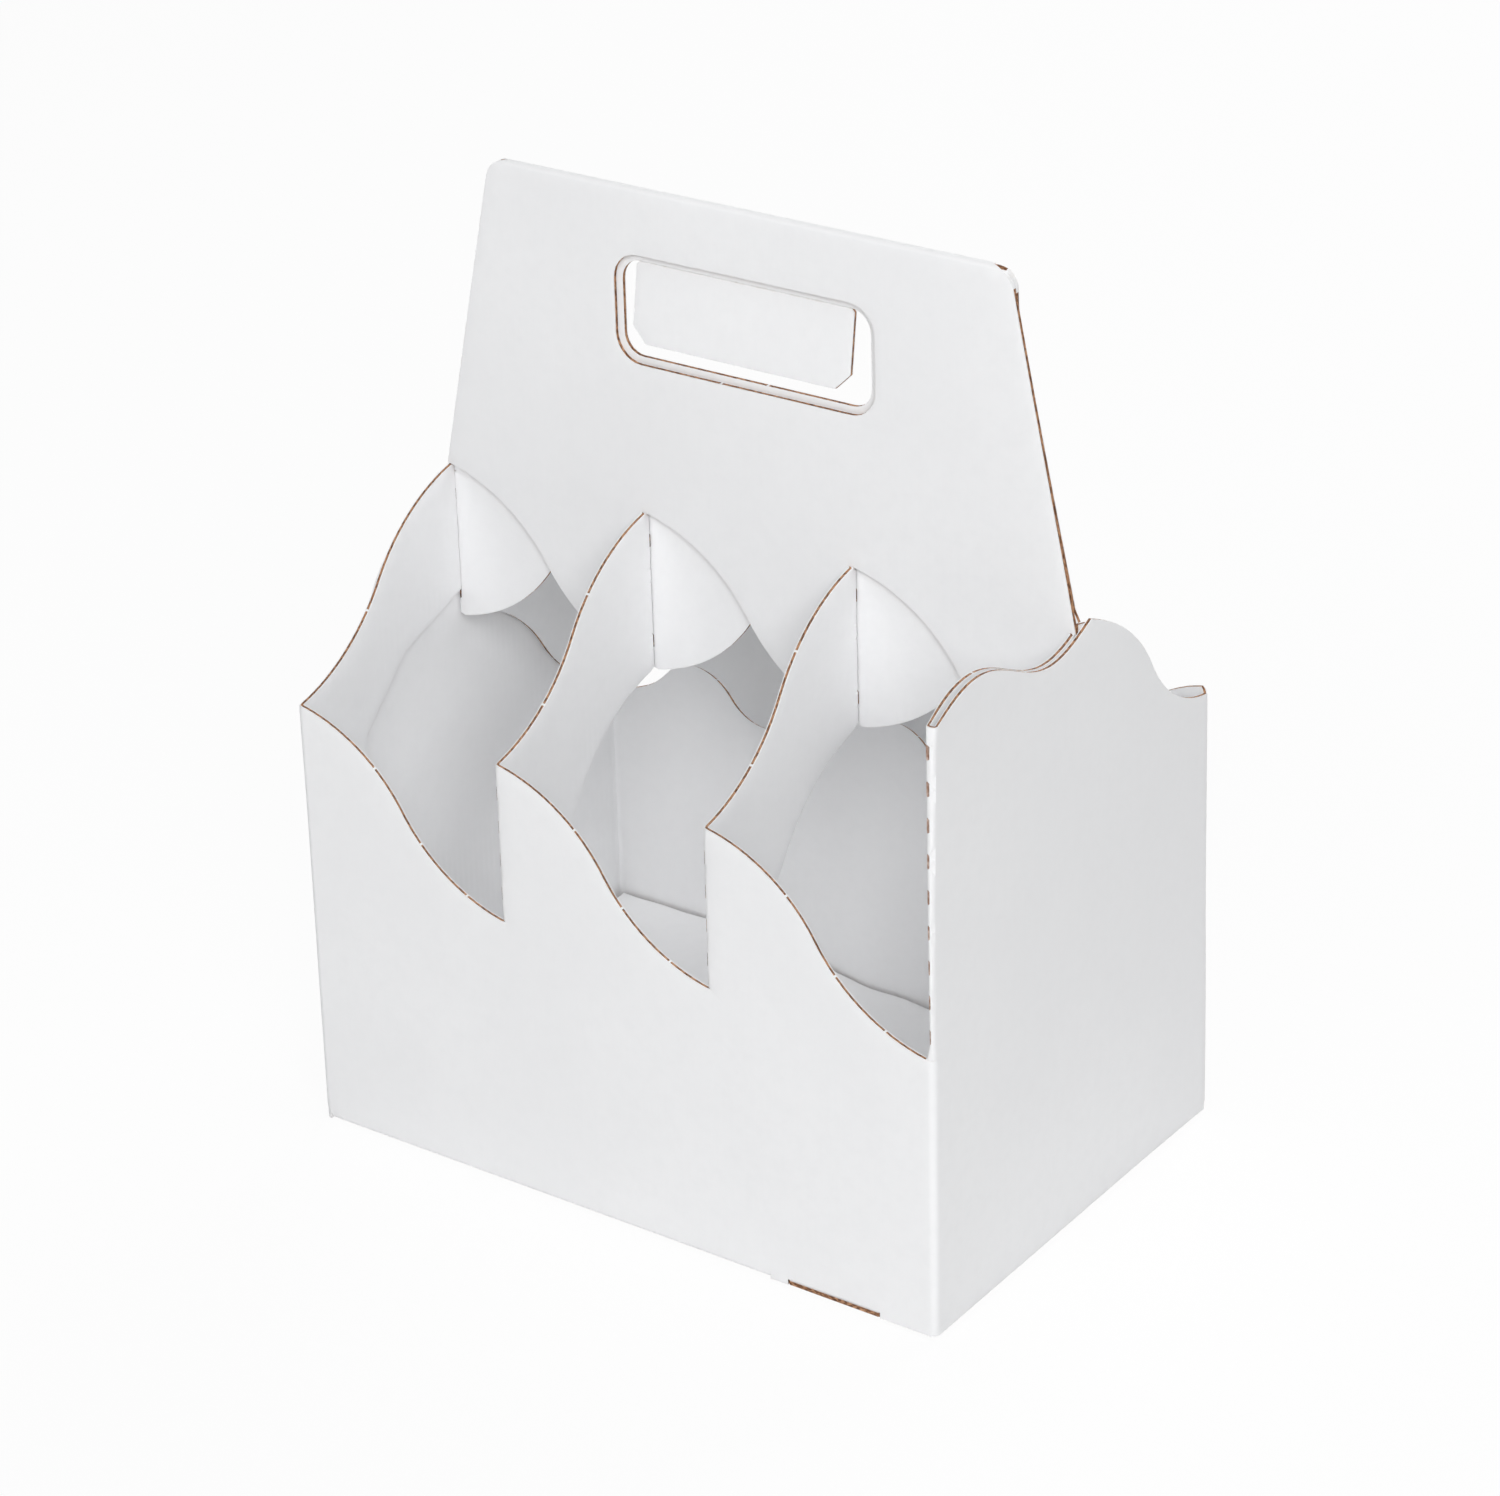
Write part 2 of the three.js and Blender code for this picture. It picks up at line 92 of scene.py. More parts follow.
class FoldPath:
    """The way a strip of board runs, as its outer face, in one plane. board_side is 1 where
    the board lies to the left of the way, and -1 where it lies to the right."""

    def __init__(self, start, heading, board_side):
        self.point, self.heading, self.side = np.array(start, float), math.radians(heading), board_side
        self.runs, self.columns, self.beads, self.length = [], [0.0], [], 0.0

    def ahead(self):
        return np.array([math.cos(self.heading), math.sin(self.heading)])

    def left(self):
        return np.array([-math.sin(self.heading), math.cos(self.heading)])

    def straight(self, length):
        self.runs.append((self.length, length, self.point, self.ahead(), self.left(), 0.0, 0.0, 2.0))
        steps = max(1, math.ceil(length / GRID - 0.01))
        self.columns += [self.length + length * k / steps for k in range(1, steps + 1)]
        self.point = self.point + self.ahead() * length
        self.length += length
        return self

    def turn(self, degrees, radius, steps=7, roundness=2.0):
        """A fold. The higher its roundness number, the squarer the outside of the fold."""
        angle = math.radians(degrees)
        length = abs(angle) * max(radius, SHARPEST_FOLD)
        hand = math.copysign(1, angle)
        centre = self.point + self.left() * radius * hand
        self.runs.append((self.length, length, centre, self.ahead(), self.left(), angle, radius, roundness))
        self.columns += [self.length + length * k / steps for k in range(1, steps + 1)]
        if radius > WIDEST_PLAIN_FOLD:
            self.beads += [self.length - BEAD, self.length + length + BEAD]
        self.heading += angle
        self.point = centre - self.left() * radius * hand
        self.length += length
        return self

    def place(self, along, depth):
        """Points in the path's plane from the way along the face and the depth into it."""
        result = np.zeros((len(along), 2))
        starts = np.array([run[0] for run in self.runs])
        which = np.clip(np.searchsorted(starts, along, side="right") - 1, 0, len(starts) - 1)
        for index, (start, length, point, ahead, left, angle, radius, roundness) in enumerate(self.runs):
            here = which == index
            t, d = (along[here] - start)[:, None], (depth[here] * self.side)[:, None]
            if angle:
                hand = math.copysign(1, angle)
                sine, cosine = np.sin(np.abs(t * angle / length)), np.cos(t * angle / length)
                outward = sine * ahead - cosine * left * hand
                squared = (np.abs(sine) ** roundness + np.abs(cosine) ** roundness) ** (1 / roundness)
                result[here] = point + outward * (radius - d * hand) / squared
            else:
                result[here] = point + t * ahead + d * left
        return result


def scoop(start, end, steps=26):
    """The S-shaped cut: two equal arcs, close to level at both ends."""
    (x0, z0), (x1, z1) = start, end
    across, up = abs(x1 - x0) / 2, abs(z1 - z0) / 2
    chord, first = math.atan2(up, across), math.radians(SCOOP_END_ANGLE)
    radius = math.hypot(across, up) / (2 * math.sin(chord - first))
    sx, sz = math.copysign(1, x1 - x0), math.copysign(1, z1 - z0)
    half = []
    for step in range(steps + 1):
        a = first + 2 * (chord - first) * step / steps
        half.append((radius * (math.sin(a) - math.sin(first)), radius * (math.cos(first) - math.cos(a))))
    rising = [(x0 + sx * x, z0 + sz * z) for x, z in half]
    return rising[:-1] + [(x1 - sx * x, z1 - sz * z) for x, z in reversed(half)]


def wave_height(y):
    return PEAK + WAVE_RISE * np.sin(2 * np.pi * (y - DOUBLE_FOLD) / (PEAK_PAST_MIDDLE - DOUBLE_FOLD))


def wave(start, end, steps=44):
    return [(y, wave_height(y)) for y in (start + (end - start) * k / steps for k in range(steps + 1))]


def arc(centre, radius, start, end, steps=7):
    angles = [math.radians(start + (end - start) * k / steps) for k in range(steps + 1)]
    return [(centre[0] + radius * math.cos(a), centre[1] + radius * math.sin(a)) for a in angles]


def eased(share):
    share = min(max(share, 0.0), 1.0)
    return share * share * (3 - 2 * share)


def trimmed(points, depth, at_end):
    """The same curve, cut lower by up to depth on its way and by at_end at its last point."""
    lower = []
    for k, (x, z) in enumerate(points):
        share = k / (len(points) - 1)
        on_the_way = max(0.0, math.sin(math.pi * share ** 1.5)) ** 0.8
        lower.append((x, z - depth * on_the_way - at_end * eased(2 * share - 1)))
    return lower


def divider_face(index):
    return GLUE_FACE + index * PITCH


class Outline:
    """A closed line round a panel, drawn in lengths that are cut, or that join the next
    panel. nicks are the places along a cut, as shares, where the liners stayed joined."""

    def __init__(self):
        self.points, self.cut, self.nicked = [], [], []

    def line(self, points, nicks=()):
        points = [np.array(p, float) for p in points]
        spans = [float(np.linalg.norm(b - a)) for a, b in zip(points, points[1:])]
        total, start = sum(spans), 0.0
        stops = [nick * total + offset for nick in nicks for offset in (-NICK / 2, NICK / 2)]
        for a, b, span in zip(points, points[1:], spans):
            if span < 1e-6:
                continue
            count = max(1, math.ceil(span / EDGE_STEP))
            inner = [span * k / count for k in range(count)]
            inner = sorted(inner + [s - start for s in stops if 0 < s - start < span])
            inner = inner[:1] + [s for before, s in zip(inner, inner[1:]) if s - before > CUT_GAP]
            for s, following in zip(inner, inner[1:] + [span]):
                middle = start + (s + following) / 2
                self.points.append(a + (b - a) * s / span)
                self.cut.append(True)
                self.nicked.append(any(abs(middle - nick * total) < NICK / 2 for nick in nicks))
            start += span
        return self

    def join(self, a, b, zero=0.0):
        """A join takes its points from the grid, so that both panels have the same ones."""
        a, b = np.array(a, float), np.array(b, float)
        axis = int(abs(b[1] - a[1]) > abs(b[0] - a[0]))
        low, high = sorted((a[axis] - zero, b[axis] - zero))
        first, last = math.ceil((low + JOIN_GAP) / GRID), math.floor((high - JOIN_GAP) / GRID)
        rows = [zero + k * GRID for k in range(first, last + 1)]
        shares = sorted([0.0] + [(row - a[axis]) / (b[axis] - a[axis]) for row in rows])
        self.points += [a + (b - a) * share for share in shares]
        self.cut += [False] * len(shares)
        self.nicked += [False] * len(shares)
        return self

    def keep_liner(self, where):
        """The sides whose first point passes the test show no core, only the white liners."""
        self.nicked = [nicked or where(*spot) for nicked, spot in zip(self.nicked, self.points)]


def inside(points, loop):
    x, y = points[:, 0], points[:, 1]
    hit = np.zeros(len(points), bool)
    for (x0, y0), (x1, y1) in zip(loop, np.roll(loop, -1, 0)):
        if y0 != y1:
            hit ^= ((y0 > y) != (y1 > y)) & (x < (x1 - x0) * (y - y0) / (y1 - y0) + x0)
    return hit


def edge_distance(points, edges):
    best = np.full(len(points), 1e9)
    for k in range(0, len(edges), 64):
        a, b = edges[k:k + 64, 0], edges[k:k + 64, 1]
        along = np.einsum("pek,ek->pe", points[:, None] - a, b - a)
        share = along / np.maximum(((b - a) ** 2).sum(1), 1e-12)
        nearest = a + np.clip(share, 0, 1)[..., None] * (b - a)
        best = np.minimum(best, np.linalg.norm(points[:, None] - nearest, axis=2).min(1))
    return best


def without_needles(points, triangles):
    """Three points in a row along a straight cut can make a triangle with no height. It
    trades its long side with its neighbour, and then both have some."""
    for _ in range(6):
        corners = points[triangles]
        sides = np.roll(corners, -1, 1) - corners
        lengths = np.linalg.norm(sides, axis=2)
        areas = np.abs(sides[:, 0, 0] * sides[:, 1, 1] - sides[:, 0, 1] * sides[:, 1, 0])
        needles = np.flatnonzero(areas / lengths.max(1) < NEEDLE)
        if not len(needles):
            break
        kept = triangles.tolist()
        beside = {(t[k], t[(k + 1) % 3]): number for number, t in enumerate(kept) for k in range(3)}
        traded, dropped = set(), set()
        for needle in needles:
            k = int(lengths[needle].argmax())
            a, c, b = (kept[needle][(k + step) % 3] for step in range(3))
            other = beside.get((c, a))
            if other is None:
                dropped.add(needle)
            elif needle not in traded and other not in traded:
                d = next(corner for corner in kept[other] if corner not in (a, c))
                kept[needle], kept[other] = [a, d, b], [d, c, b]
                traded |= {needle, other}
        triangles = np.array([t for number, t in enumerate(kept) if number not in dropped])
    return triangles


class Drawing:
    """A panel drawn flat, as (along, across): its outline and holes, which of their sides are
    cut, and its slits. A slit is a narrow cleft: six points round it and two at its bottom."""

    def __init__(self, outlines, slits):
        self.loops = [np.array(outline.points) for outline in outlines]
        self.points, self.edges, self.rim = [], [], []
        for loop, outline in zip(self.loops, outlines):
            first, size = len(self.points), len(loop)
            self.points += list(loop)
            for k in range(size):
                ends = (first + k, first + (k + 1) % size)
                self.edges.append(ends)
                if outline.cut[k]:
                    self.rim.append((*ends, outline.nicked[k]))
        cut = {(a, b) for a, b, _ in self.rim}
        self.cuts = self.sides([ends for ends in self.edges if ends in cut])
        self.joins = self.sides([ends for ends in self.edges if ends not in cut])
        self.rings, self.bottoms = [], []
        for middle, height, w, h, *_ in slits:
            first = len(self.points)
            top, bottom = h - SLIT_POINT, h - SLIT_BOTTOM
            ring = [(-w, -top), (0, -h), (w, -top), (w, top), (0, h), (-w, top)]
            self.rings.append(np.array([(middle + x, height + z) for x, z in ring]))
            self.points += [*self.rings[-1], (middle, height - bottom), (middle, height + bottom)]
            self.edges += [(first + k, first + (k + 1) % 6) for k in range(6)] + [(first + 6, first + 7)]
            self.bottoms.append((first + 6, first + 7))

    def sides(self, ends):
        return np.array([(self.points[a], self.points[b]) for a, b in ends])

    def covers(self, points):
        here = inside(points, self.loops[0])
        for hole in self.loops[1:]:
            here &= ~inside(points, hole)
        return here

    def filling(self, path):
        """A grid over the board, closer beside folds, and a row just inside every cut edge."""
        low, high = self.loops[0].min(0), self.loops[0].max(0)
        beads = {bead + aside for bead in path.beads for aside in (-BEAD, -BEAD / 2, 0.0, BEAD / 2)}
        along = sorted(set(path.columns) | beads)
        across = np.arange(math.floor(low[1] / GRID), math.ceil(high[1] / GRID) + 1) * GRID
        grid = np.stack(np.meshgrid(along, across), -1).reshape(-1, 2)
        way = self.cuts[:, 1] - self.cuts[:, 0]
        aside = np.stack([-way[:, 1], way[:, 0]], 1) / np.maximum(np.linalg.norm(way, axis=1), 1e-9)[:, None]
        middles = self.cuts.mean(1)
        rows = np.concatenate([middles + aside * CRUSH_WIDTH, middles - aside * CRUSH_WIDTH])
        rows, grid = rows[self.covers(rows)], grid[self.covers(grid)]
        rows = rows[edge_distance(rows, self.cuts) > CRUSH_WIDTH * ROW_CLEAR]
        grid = grid[edge_distance(grid, self.cuts) > CRUSH_WIDTH * GRID_CLEAR]
        if len(self.joins):
            rows = rows[edge_distance(rows, self.joins) > JOIN_GAP]
            grid = grid[edge_distance(grid, self.joins) > GRID_GAP]
        for ring in self.rings:
            near = np.stack([ring, np.roll(ring, -1, 0)], 1)
            rows = rows[(edge_distance(rows, near) > GRID_GAP) & ~inside(rows, ring)]
            grid = grid[(edge_distance(grid, near) > GRID_GAP) & ~inside(grid, ring)]
        return [*grid, *rows]


class Sheets:
    """Collects the panels of one piece of board, and makes one mesh of them."""

    def __init__(self):
        self.vertices, self.flat, self.edge, self.depth = [], [], [], []
        self.faces, self.materials, self.count = [], [], 0

    def shell(self, spots, flat, edge, depth):
        first = self.count
        self.vertices.append(spots)
        self.flat.append(flat)
        self.edge.append(edge)
        self.depth.append(np.full(len(spots), depth))
        self.count += len(spots)
        return first

    def add(self, outline, path, to_space, holes=(), bend=lambda spots: spots, flutes_along=False,
            slits=(), glued=False, bare=math.inf):
        """A panel, laid along its path and set in place. Where it is glued to another layer, its cut edges
        show no inner liner. Past the along-distance bare, its cut edges show no liner at all: the whole edge
        takes the core's brown, partly for the fluted core and partly as painted shade in the gap over that
        edge."""
        drawing = Drawing((outline, *holes), slits)
        points = [Vector(point) for point in (*drawing.points, *drawing.filling(path))]
        made, _, triangles, origin, *_ = geometry.delaunay_2d_cdt(points, drawing.edges, [], 0, 1e-5, True)
        made = np.array([tuple(point) for point in made])
        now_at = {source: index for index, sources in enumerate(origin) for source in sources}
        triangles = np.array([t for t in triangles if len(t) == 3])
        triangles = without_needles(made, triangles[drawing.covers(made[triangles].mean(1))])
        distance = edge_distance(made, drawing.cuts)
        pressed = EDGE_CRUSH * np.clip(1 - distance / CRUSH_WIDTH, 0, 1) ** 1.5
        slit = np.zeros(len(triangles), int)
        for ring, bottom, (*_, material, cut_depth) in zip(drawing.rings, drawing.bottoms, slits):
            slit[inside(made[triangles].mean(1), ring)] = material
            pressed[[now_at[k] for k in bottom]] = cut_depth
        beaded = np.zeros(len(made))
        for bead in path.beads:
            beaded = np.maximum(beaded, CREASE_PRESS * np.clip(1 - np.abs(made[:, 0] - bead) / BEAD, 0, 1))

        def lift(where, depth):
            return bend(to_space(path.place(where[:, 0], depth), where[:, 1]))

        plan = made[:, ::-1] if flutes_along else made
        face = self.shell(lift(made, pressed), plan, distance, 0.5)
        back = self.shell(lift(made, BOARD - np.maximum(pressed, beaded)), plan, distance, 0.5)
        outer, inner = (spots[triangles[len(triangles) // 2]] for spots in self.vertices[-2:])
        flip = np.cross(outer[1] - outer[0], outer[2] - outer[0]) @ (outer - inner).mean(0) < 0
        front = triangles[:, ::-1] if flip else triangles
        self.faces += [tuple(face + t) for t in front] + [tuple(back + t[::-1]) for t in front]
        self.materials += slit.tolist() * 2
        # the cut edge: liner, fluted core, liner
        ring = sorted({now_at[k] for i, j, _ in drawing.rim for k in (i, j)})
        slot = {index: k for k, index in enumerate(ring)}
        press = pressed[ring] + LINER_THICKNESS
        upper = self.shell(lift(made[ring], press), plan[ring], distance[ring], 0.0)
        lower = self.shell(lift(made[ring], BOARD - press), plan[ring], distance[ring], 1.0)
        ways = {(t[k], t[(k + 1) % 3]) for t in triangles.tolist() for k in range(3)}
        for i, j, nicked in drawing.rim:
            a, b = now_at[i], now_at[j]
            if (a, b) not in ways:
                a, b = b, a
            if a == b or (a, b) not in ways:
                continue
            levels = [(face + a, face + b), (upper + slot[a], upper + slot[b]),
                      (lower + slot[a], lower + slot[b]), (back + a, back + b)]
            # past the given along-distance the liner bands take the core's brown: partly painted shade in the
            # gap over the edge
            liner = BROWN if made[a][0] > bare else WHITE
            bands = (liner, WHITE, WHITE) if nicked else (liner, BROWN, BROWN if glued else liner)
            for (p, q), (r, s), material in zip(levels, levels[1:], bands):
                self.faces.append((p, q, s, r) if flip else (q, p, r, s))
                self.materials.append(material)

    def take(self, other, turned=False):
        """The panels of another sheet, as they are or turned half a turn about the upright axis."""
        way = np.array([-1, -1, 1] if turned else [1, 1, 1])
        self.vertices += [spots * way for spots in other.vertices]
        for name in ("flat", "edge", "depth", "materials"):
            getattr(self, name).extend(getattr(other, name))
        self.faces += [tuple(self.count + i for i in face) for face in other.faces]
        self.count += other.count

    def piece(self, name, materials):
        data = bpy.data.meshes.new(name)
        vertices = settled(np.concatenate(self.vertices)) / 1000
        data.from_pydata(vertices.tolist(), [], [tuple(map(int, f)) for f in self.faces])
        for material in materials:
            data.materials.append(material)
        data.polygons.foreach_set("material_index", self.materials)
        flat = (np.concatenate(self.flat) / 1000).astype(np.float32)
        corners = np.zeros(len(data.loops), int)
        data.loops.foreach_get("vertex_index", corners)
        data.uv_layers.new(name="flat").data.foreach_set("uv", flat[corners].ravel())
        for label, values in (("edge", self.edge), ("depth", self.depth)):
            values = np.concatenate(values).astype(np.float32)
            data.attributes.new(label, "FLOAT", "POINT").data.foreach_set("value", values)
        welded = bmesh.new()
        welded.from_mesh(data)
        bmesh.ops.remove_doubles(welded, verts=welded.verts, dist=5e-6)
        welded.to_mesh(data)
        welded.free()
        data.polygons.foreach_set("use_smooth", [True] * len(data.polygons))
        data.set_sharp_from_angle(angle=math.radians(32))
        piece = bpy.data.objects.new(name, data)
        bpy.context.collection.objects.link(piece)
        return piece


BOW_SEED, BOW_SPAN, BOW_PLACE = 5, 62.0, Vector((3, 7, 1))
END_WALL_BOW, LONG_WALL_BOW = 0.0022, 0.0036  # as shares of the way from the middle
HANDLE_BOW, HANDLE_BOW_REACH, TOP_SAG = 0.45, 22.0, 0.12
RISE_OF_BOW = 60.0  # height over which the bow, and above it the sag, come in
RACK_FROM_X, RACK_RUN_X, RACK_FROM_Y, RACK_RUN_Y = 85.0, 12.0, 20.0, 50.0
RACK_OUT, RACK_IN, RACK_HEIGHT = 0.5, 2.0, 130.0
noise.seed_set(BOW_SEED)


def settled(spots):
    """Board is never quite flat. The walls bow in and the handle bows sideways by tenths of a
    millimetre, the tops sag, and the back right corner leans in towards its top."""
    moved = spots.copy()
    for k, (x, y, z) in enumerate(spots):
        bow = noise.noise_vector(Vector(spots[k] / BOW_SPAN) + BOW_PLACE)
        risen = min(max(z / RISE_OF_BOW, 0), 1)
        moved[k, 0] *= 1 - END_WALL_BOW * (1 + bow.x) * risen
        moved[k, 1] *= 1 - LONG_WALL_BOW * (1 + bow.y) * risen
        moved[k, 1] += HANDLE_BOW * bow.z * math.exp(-(y / HANDLE_BOW_REACH) ** 2) * risen
        if z > RISE_OF_BOW:
            moved[k, 2] -= TOP_SAG * (1 + bow.z) * min((z - RISE_OF_BOW) / RISE_OF_BOW, 1)
        if x > RACK_FROM_X and y > RACK_FROM_Y:
            share = ((y - RACK_FROM_Y) / RACK_RUN_Y) ** 2 * min((x - RACK_FROM_X) / RACK_RUN_X, 1)
            moved[k, 0] += share * (RACK_OUT - RACK_IN * (max(z, 0.0) / RACK_HEIGHT) ** 1.5)
    moved[:, 2] = np.maximum(moved[:, 2], 0.0)
    return moved


def upright(plan, height):
    """For a path drawn from above, which the panel stands on."""
    return np.column_stack([plan, height])


FOLD_CRUSH_REACH, FLARE_REACH, FOLD_CRUSH_RISE = 7.0, 2.5, 3.0


def sprung(spots):
    """The doubled half of an end wall stands out, most at its top front corner, and is
    crushed thinner beside its fold."""
    x, y, z = spots.T
    height = np.clip((z - LOW_EDGE) / (PEAK + WAVE_RISE - LOW_EDGE), 0, 1)
    outer = np.clip((x - LINER_FACE - BOARD) / LINER_GAP, 0, 1)
    at_fold = np.exp(-((y - FRONT) / FOLD_CRUSH_REACH) ** 2)
    at_fold = at_fold * np.clip((z - LOW_EDGE) / FOLD_CRUSH_RISE, 0, 1)
    thinner = 1 - (FOLD_CRUSH - CRUSH_EASED * height) * at_fold
    x = np.where(x > LINER_FACE - 1, RIGHT + (x - RIGHT) * thinner, x)
    below_top = np.clip(wave_height(y) - z, 0, PEAK)
    stand = (SPRING * height ** 2 + FLARE * np.exp(-below_top / FLARE_REACH)) * outer
    x = x + stand * np.clip(y / FRONT, 0, 1) ** 1.5
    return np.column_stack([np.maximum(x, GLUE_FACE + GLUE_LINE), y, z])


def wall_run(half, hinge_from, hinge_to, slotted):
    """The front half's run has the tongue's slot. The back half's is cut lower in places."""
    tip = -GLUE_END_GAP
    first_x, last_x = GLUE_FACE + FOLD_OUTER, RIGHT - FOLD_OUTER
    path = FoldPath((GLUE_FACE, tip), -90, 1)
    flap_fold = tip - WALL_FOLD
    front = path.straight(flap_fold).turn(90, FOLD_OUTER).length - first_x
    end = path.straight(last_x - first_x).turn(90, FOLD_OUTER).length - WALL_FOLD
    path.straight(FREE_EDGE - WALL_FOLD)

    def on_flap(points):
        return [(tip - y, z) for y, z in points]

    def on_front(points):
        return [(front + x, z) for x, z in points]

    def on_end(points):
        return [(end + y, z) for y, z in points]

    inner, shoulder = FRONT + GLUE_FLAP, POST_TOP - GLUE_SHOULDER_DROP
    trim, low_start, low_peak, low_fold = FRONT_TRIMS if slotted else BACK_TRIMS
    o = Outline()
    o.line(on_flap([(tip, POST_TOP + GLUE_TIP_RISE), (-GLUE_SHOULDER, shoulder),
                    (inner, shoulder + GLUE_SHOULDER + inner), (inner, GLUE_FOOT), (WALL_FOLD, GLUE_FOOT)]))
    flap_foot = [(flap_fold, GLUE_FOOT), (flap_fold, 0)]
    o.line(flap_foot + on_front([(first_x, 0), (hinge_from, 0), (hinge_from, FOLD_OUTER)]))
    # beside the floor's fold the cut edge shows no core
    o.keep_liner(lambda along, up: along > front + hinge_from - CORNER_NICK and up < FOLD_OUTER)
    o.join((front + hinge_from, FOLD_OUTER), (front + hinge_to, FOLD_OUTER), front)
    foot = [(hinge_to, FOLD_OUTER), (hinge_to, 0)]
    if slotted:
        r = TONGUE_CLEARANCE
        foot += [(SLOT_LEFT, 0), *arc((SLOT_LEFT + r, SLOT_TOP - r), r, 180, 90, 4),
                 *arc((SLOT_RIGHT - r, SLOT_TOP - r), r, 90, 0, 4), (SLOT_RIGHT, 0)]
    start = (FREE_EDGE, POST_TOP - low_start)
    o.line(on_front(foot + [(last_x, 0)]) + on_end([(WALL_FOLD, 0), (FREE_EDGE, 0), start]))
    rise = trimmed(scoop(start, (PEAK_PAST_MIDDLE, PEAK)), trim, low_peak)
    rest = [(y, z - low_peak * eased((y - PEAK_PAST_MIDDLE) / LOW_PEAK_REACH + 1))
            for y, z in wave(PEAK_PAST_MIDDLE, WALL_FOLD)]
    o.line(on_end(rise + rest), (0.22, 0.47, 0.72) if slotted else (0.2,))
    o.join((end + WALL_FOLD, wave_height(WALL_FOLD)), (end + WALL_FOLD, LOW_EDGE))
    o.line([(end + WALL_FOLD, LOW_EDGE)] + on_front([(last_x, LOW_EDGE), (divider_face(CELLS), LOW_EDGE)]))
    for cell in range(CELLS - 1, -1, -1):
        left = divider_face(cell) + FOLD_OUTER
        cut = scoop((divider_face(cell + 1), LOW_EDGE), (left, POST_TOP))
        if not slotted and cell == CELLS - 1:
            dips = [eased((x - DIP_FROM) / DIP_RUN) * eased((LINER_FACE - x) / DIP_END) for x, z in cut]
            cut = [(x, z - LAST_SCOOP_DIP * dip) for dip, (x, z) in zip(dips, cut)]
        o.line(on_front(cut), (0.15, 0.38, 0.67))
        if cell:
            o.join((front + left, POST_TOP), (front + left, LOW_EDGE))
            o.line(on_front([(left, LOW_EDGE), (divider_face(cell), LOW_EDGE)]))
    fold_top, peak = POST_TOP - low_fold, PEAK - GLUE_PEAK_DROP
    o.line([(front + first_x, POST_TOP), (flap_fold, fold_top)])
    o.line(on_flap(scoop((WALL_FOLD, fold_top), (tip, peak))), (0.4,))
    o.line(on_flap([(tip, peak), (tip, POST_TOP + GLUE_TIP_RISE)]))
    half.add(o, path, upright, bend=sprung)


front_half, back_half = Sheets(), Sheets()
wall_run(front_half, -FLOOR_EDGE, UPPER_FLAP_EDGE, True)
wall_run(back_half, -FLOOR_EDGE, FLOOR_EDGE, False)

# ---- Doubled tops of the end walls ----
# The wavy top of each end wall's front half is doubled: a sharp perforated fold at the corner
# turns the board back inside, and it runs on to the handle. It springs open a little.

HANDLE_HEIGHT, CENTRE_FOLD = 269.5, -FOLD_OUTER
SHARP = 5.0  # how square a fold is that is pressed flat
SLIT_PITCH, SLIT_LENGTH, SLIT_DEPTH = 10.0, 4.4, 0.45  # perforation along a crease
HOLLOW_HALF_WIDTH, HOLLOW_DEPTH, HOLLOW_GAP, HOLLOW_END_GAP = 0.07, 0.68, 0.06, 0.4
CORNER_SLITS_FROM_FOLD, CORNER_SLIT_HALF_WIDTH = 1.9, 0.68
CENTRE_SLITS_FROM_FOLD, CENTRE_SLIT_HALF_WIDTH = 0.33, 0.1


def slits_along(place, low, high, half_width, material, pressed=False):
    """Perforation cuts along a crease, spread evenly between two heights. A crease that is
    pressed flat is hollow between its cuts, and only each third cut shows its torn edge."""
    count = max(1, math.floor((high - low) / SLIT_PITCH - 0.25))
    middles = [(low + high + (2 * k - count + 1) * SLIT_PITCH) / 2 for k in range(count)]
    cuts = [(place, middle, half_width, SLIT_LENGTH / 2, WHITE if pressed and k % 3 else material, SLIT_DEPTH)
            for k, middle in enumerate(reversed(middles))]
    if pressed:
        ends = [m + s * SLIT_LENGTH / 2 for m in middles for s in (-1, 1)]
        ends = [low + HOLLOW_END_GAP, *ends, high - HOLLOW_END_GAP]
        cuts += [(place, (a + b) / 2, HOLLOW_HALF_WIDTH, (b - a) / 2 - HOLLOW_GAP, WHITE, HOLLOW_DEPTH)
                 for a, b in zip(ends[::2], ends[1::2])]
    return cuts


def glued_inside(spots):
    """The handle's two layers meet at a thin line of glue."""
    x, y, z = spots.T
    below_fold = z < HANDLE_HEIGHT - BOARD - CUT_GAP
    return np.column_stack([x, np.where(below_fold, np.minimum(y, -GLUE_LINE), y), z])


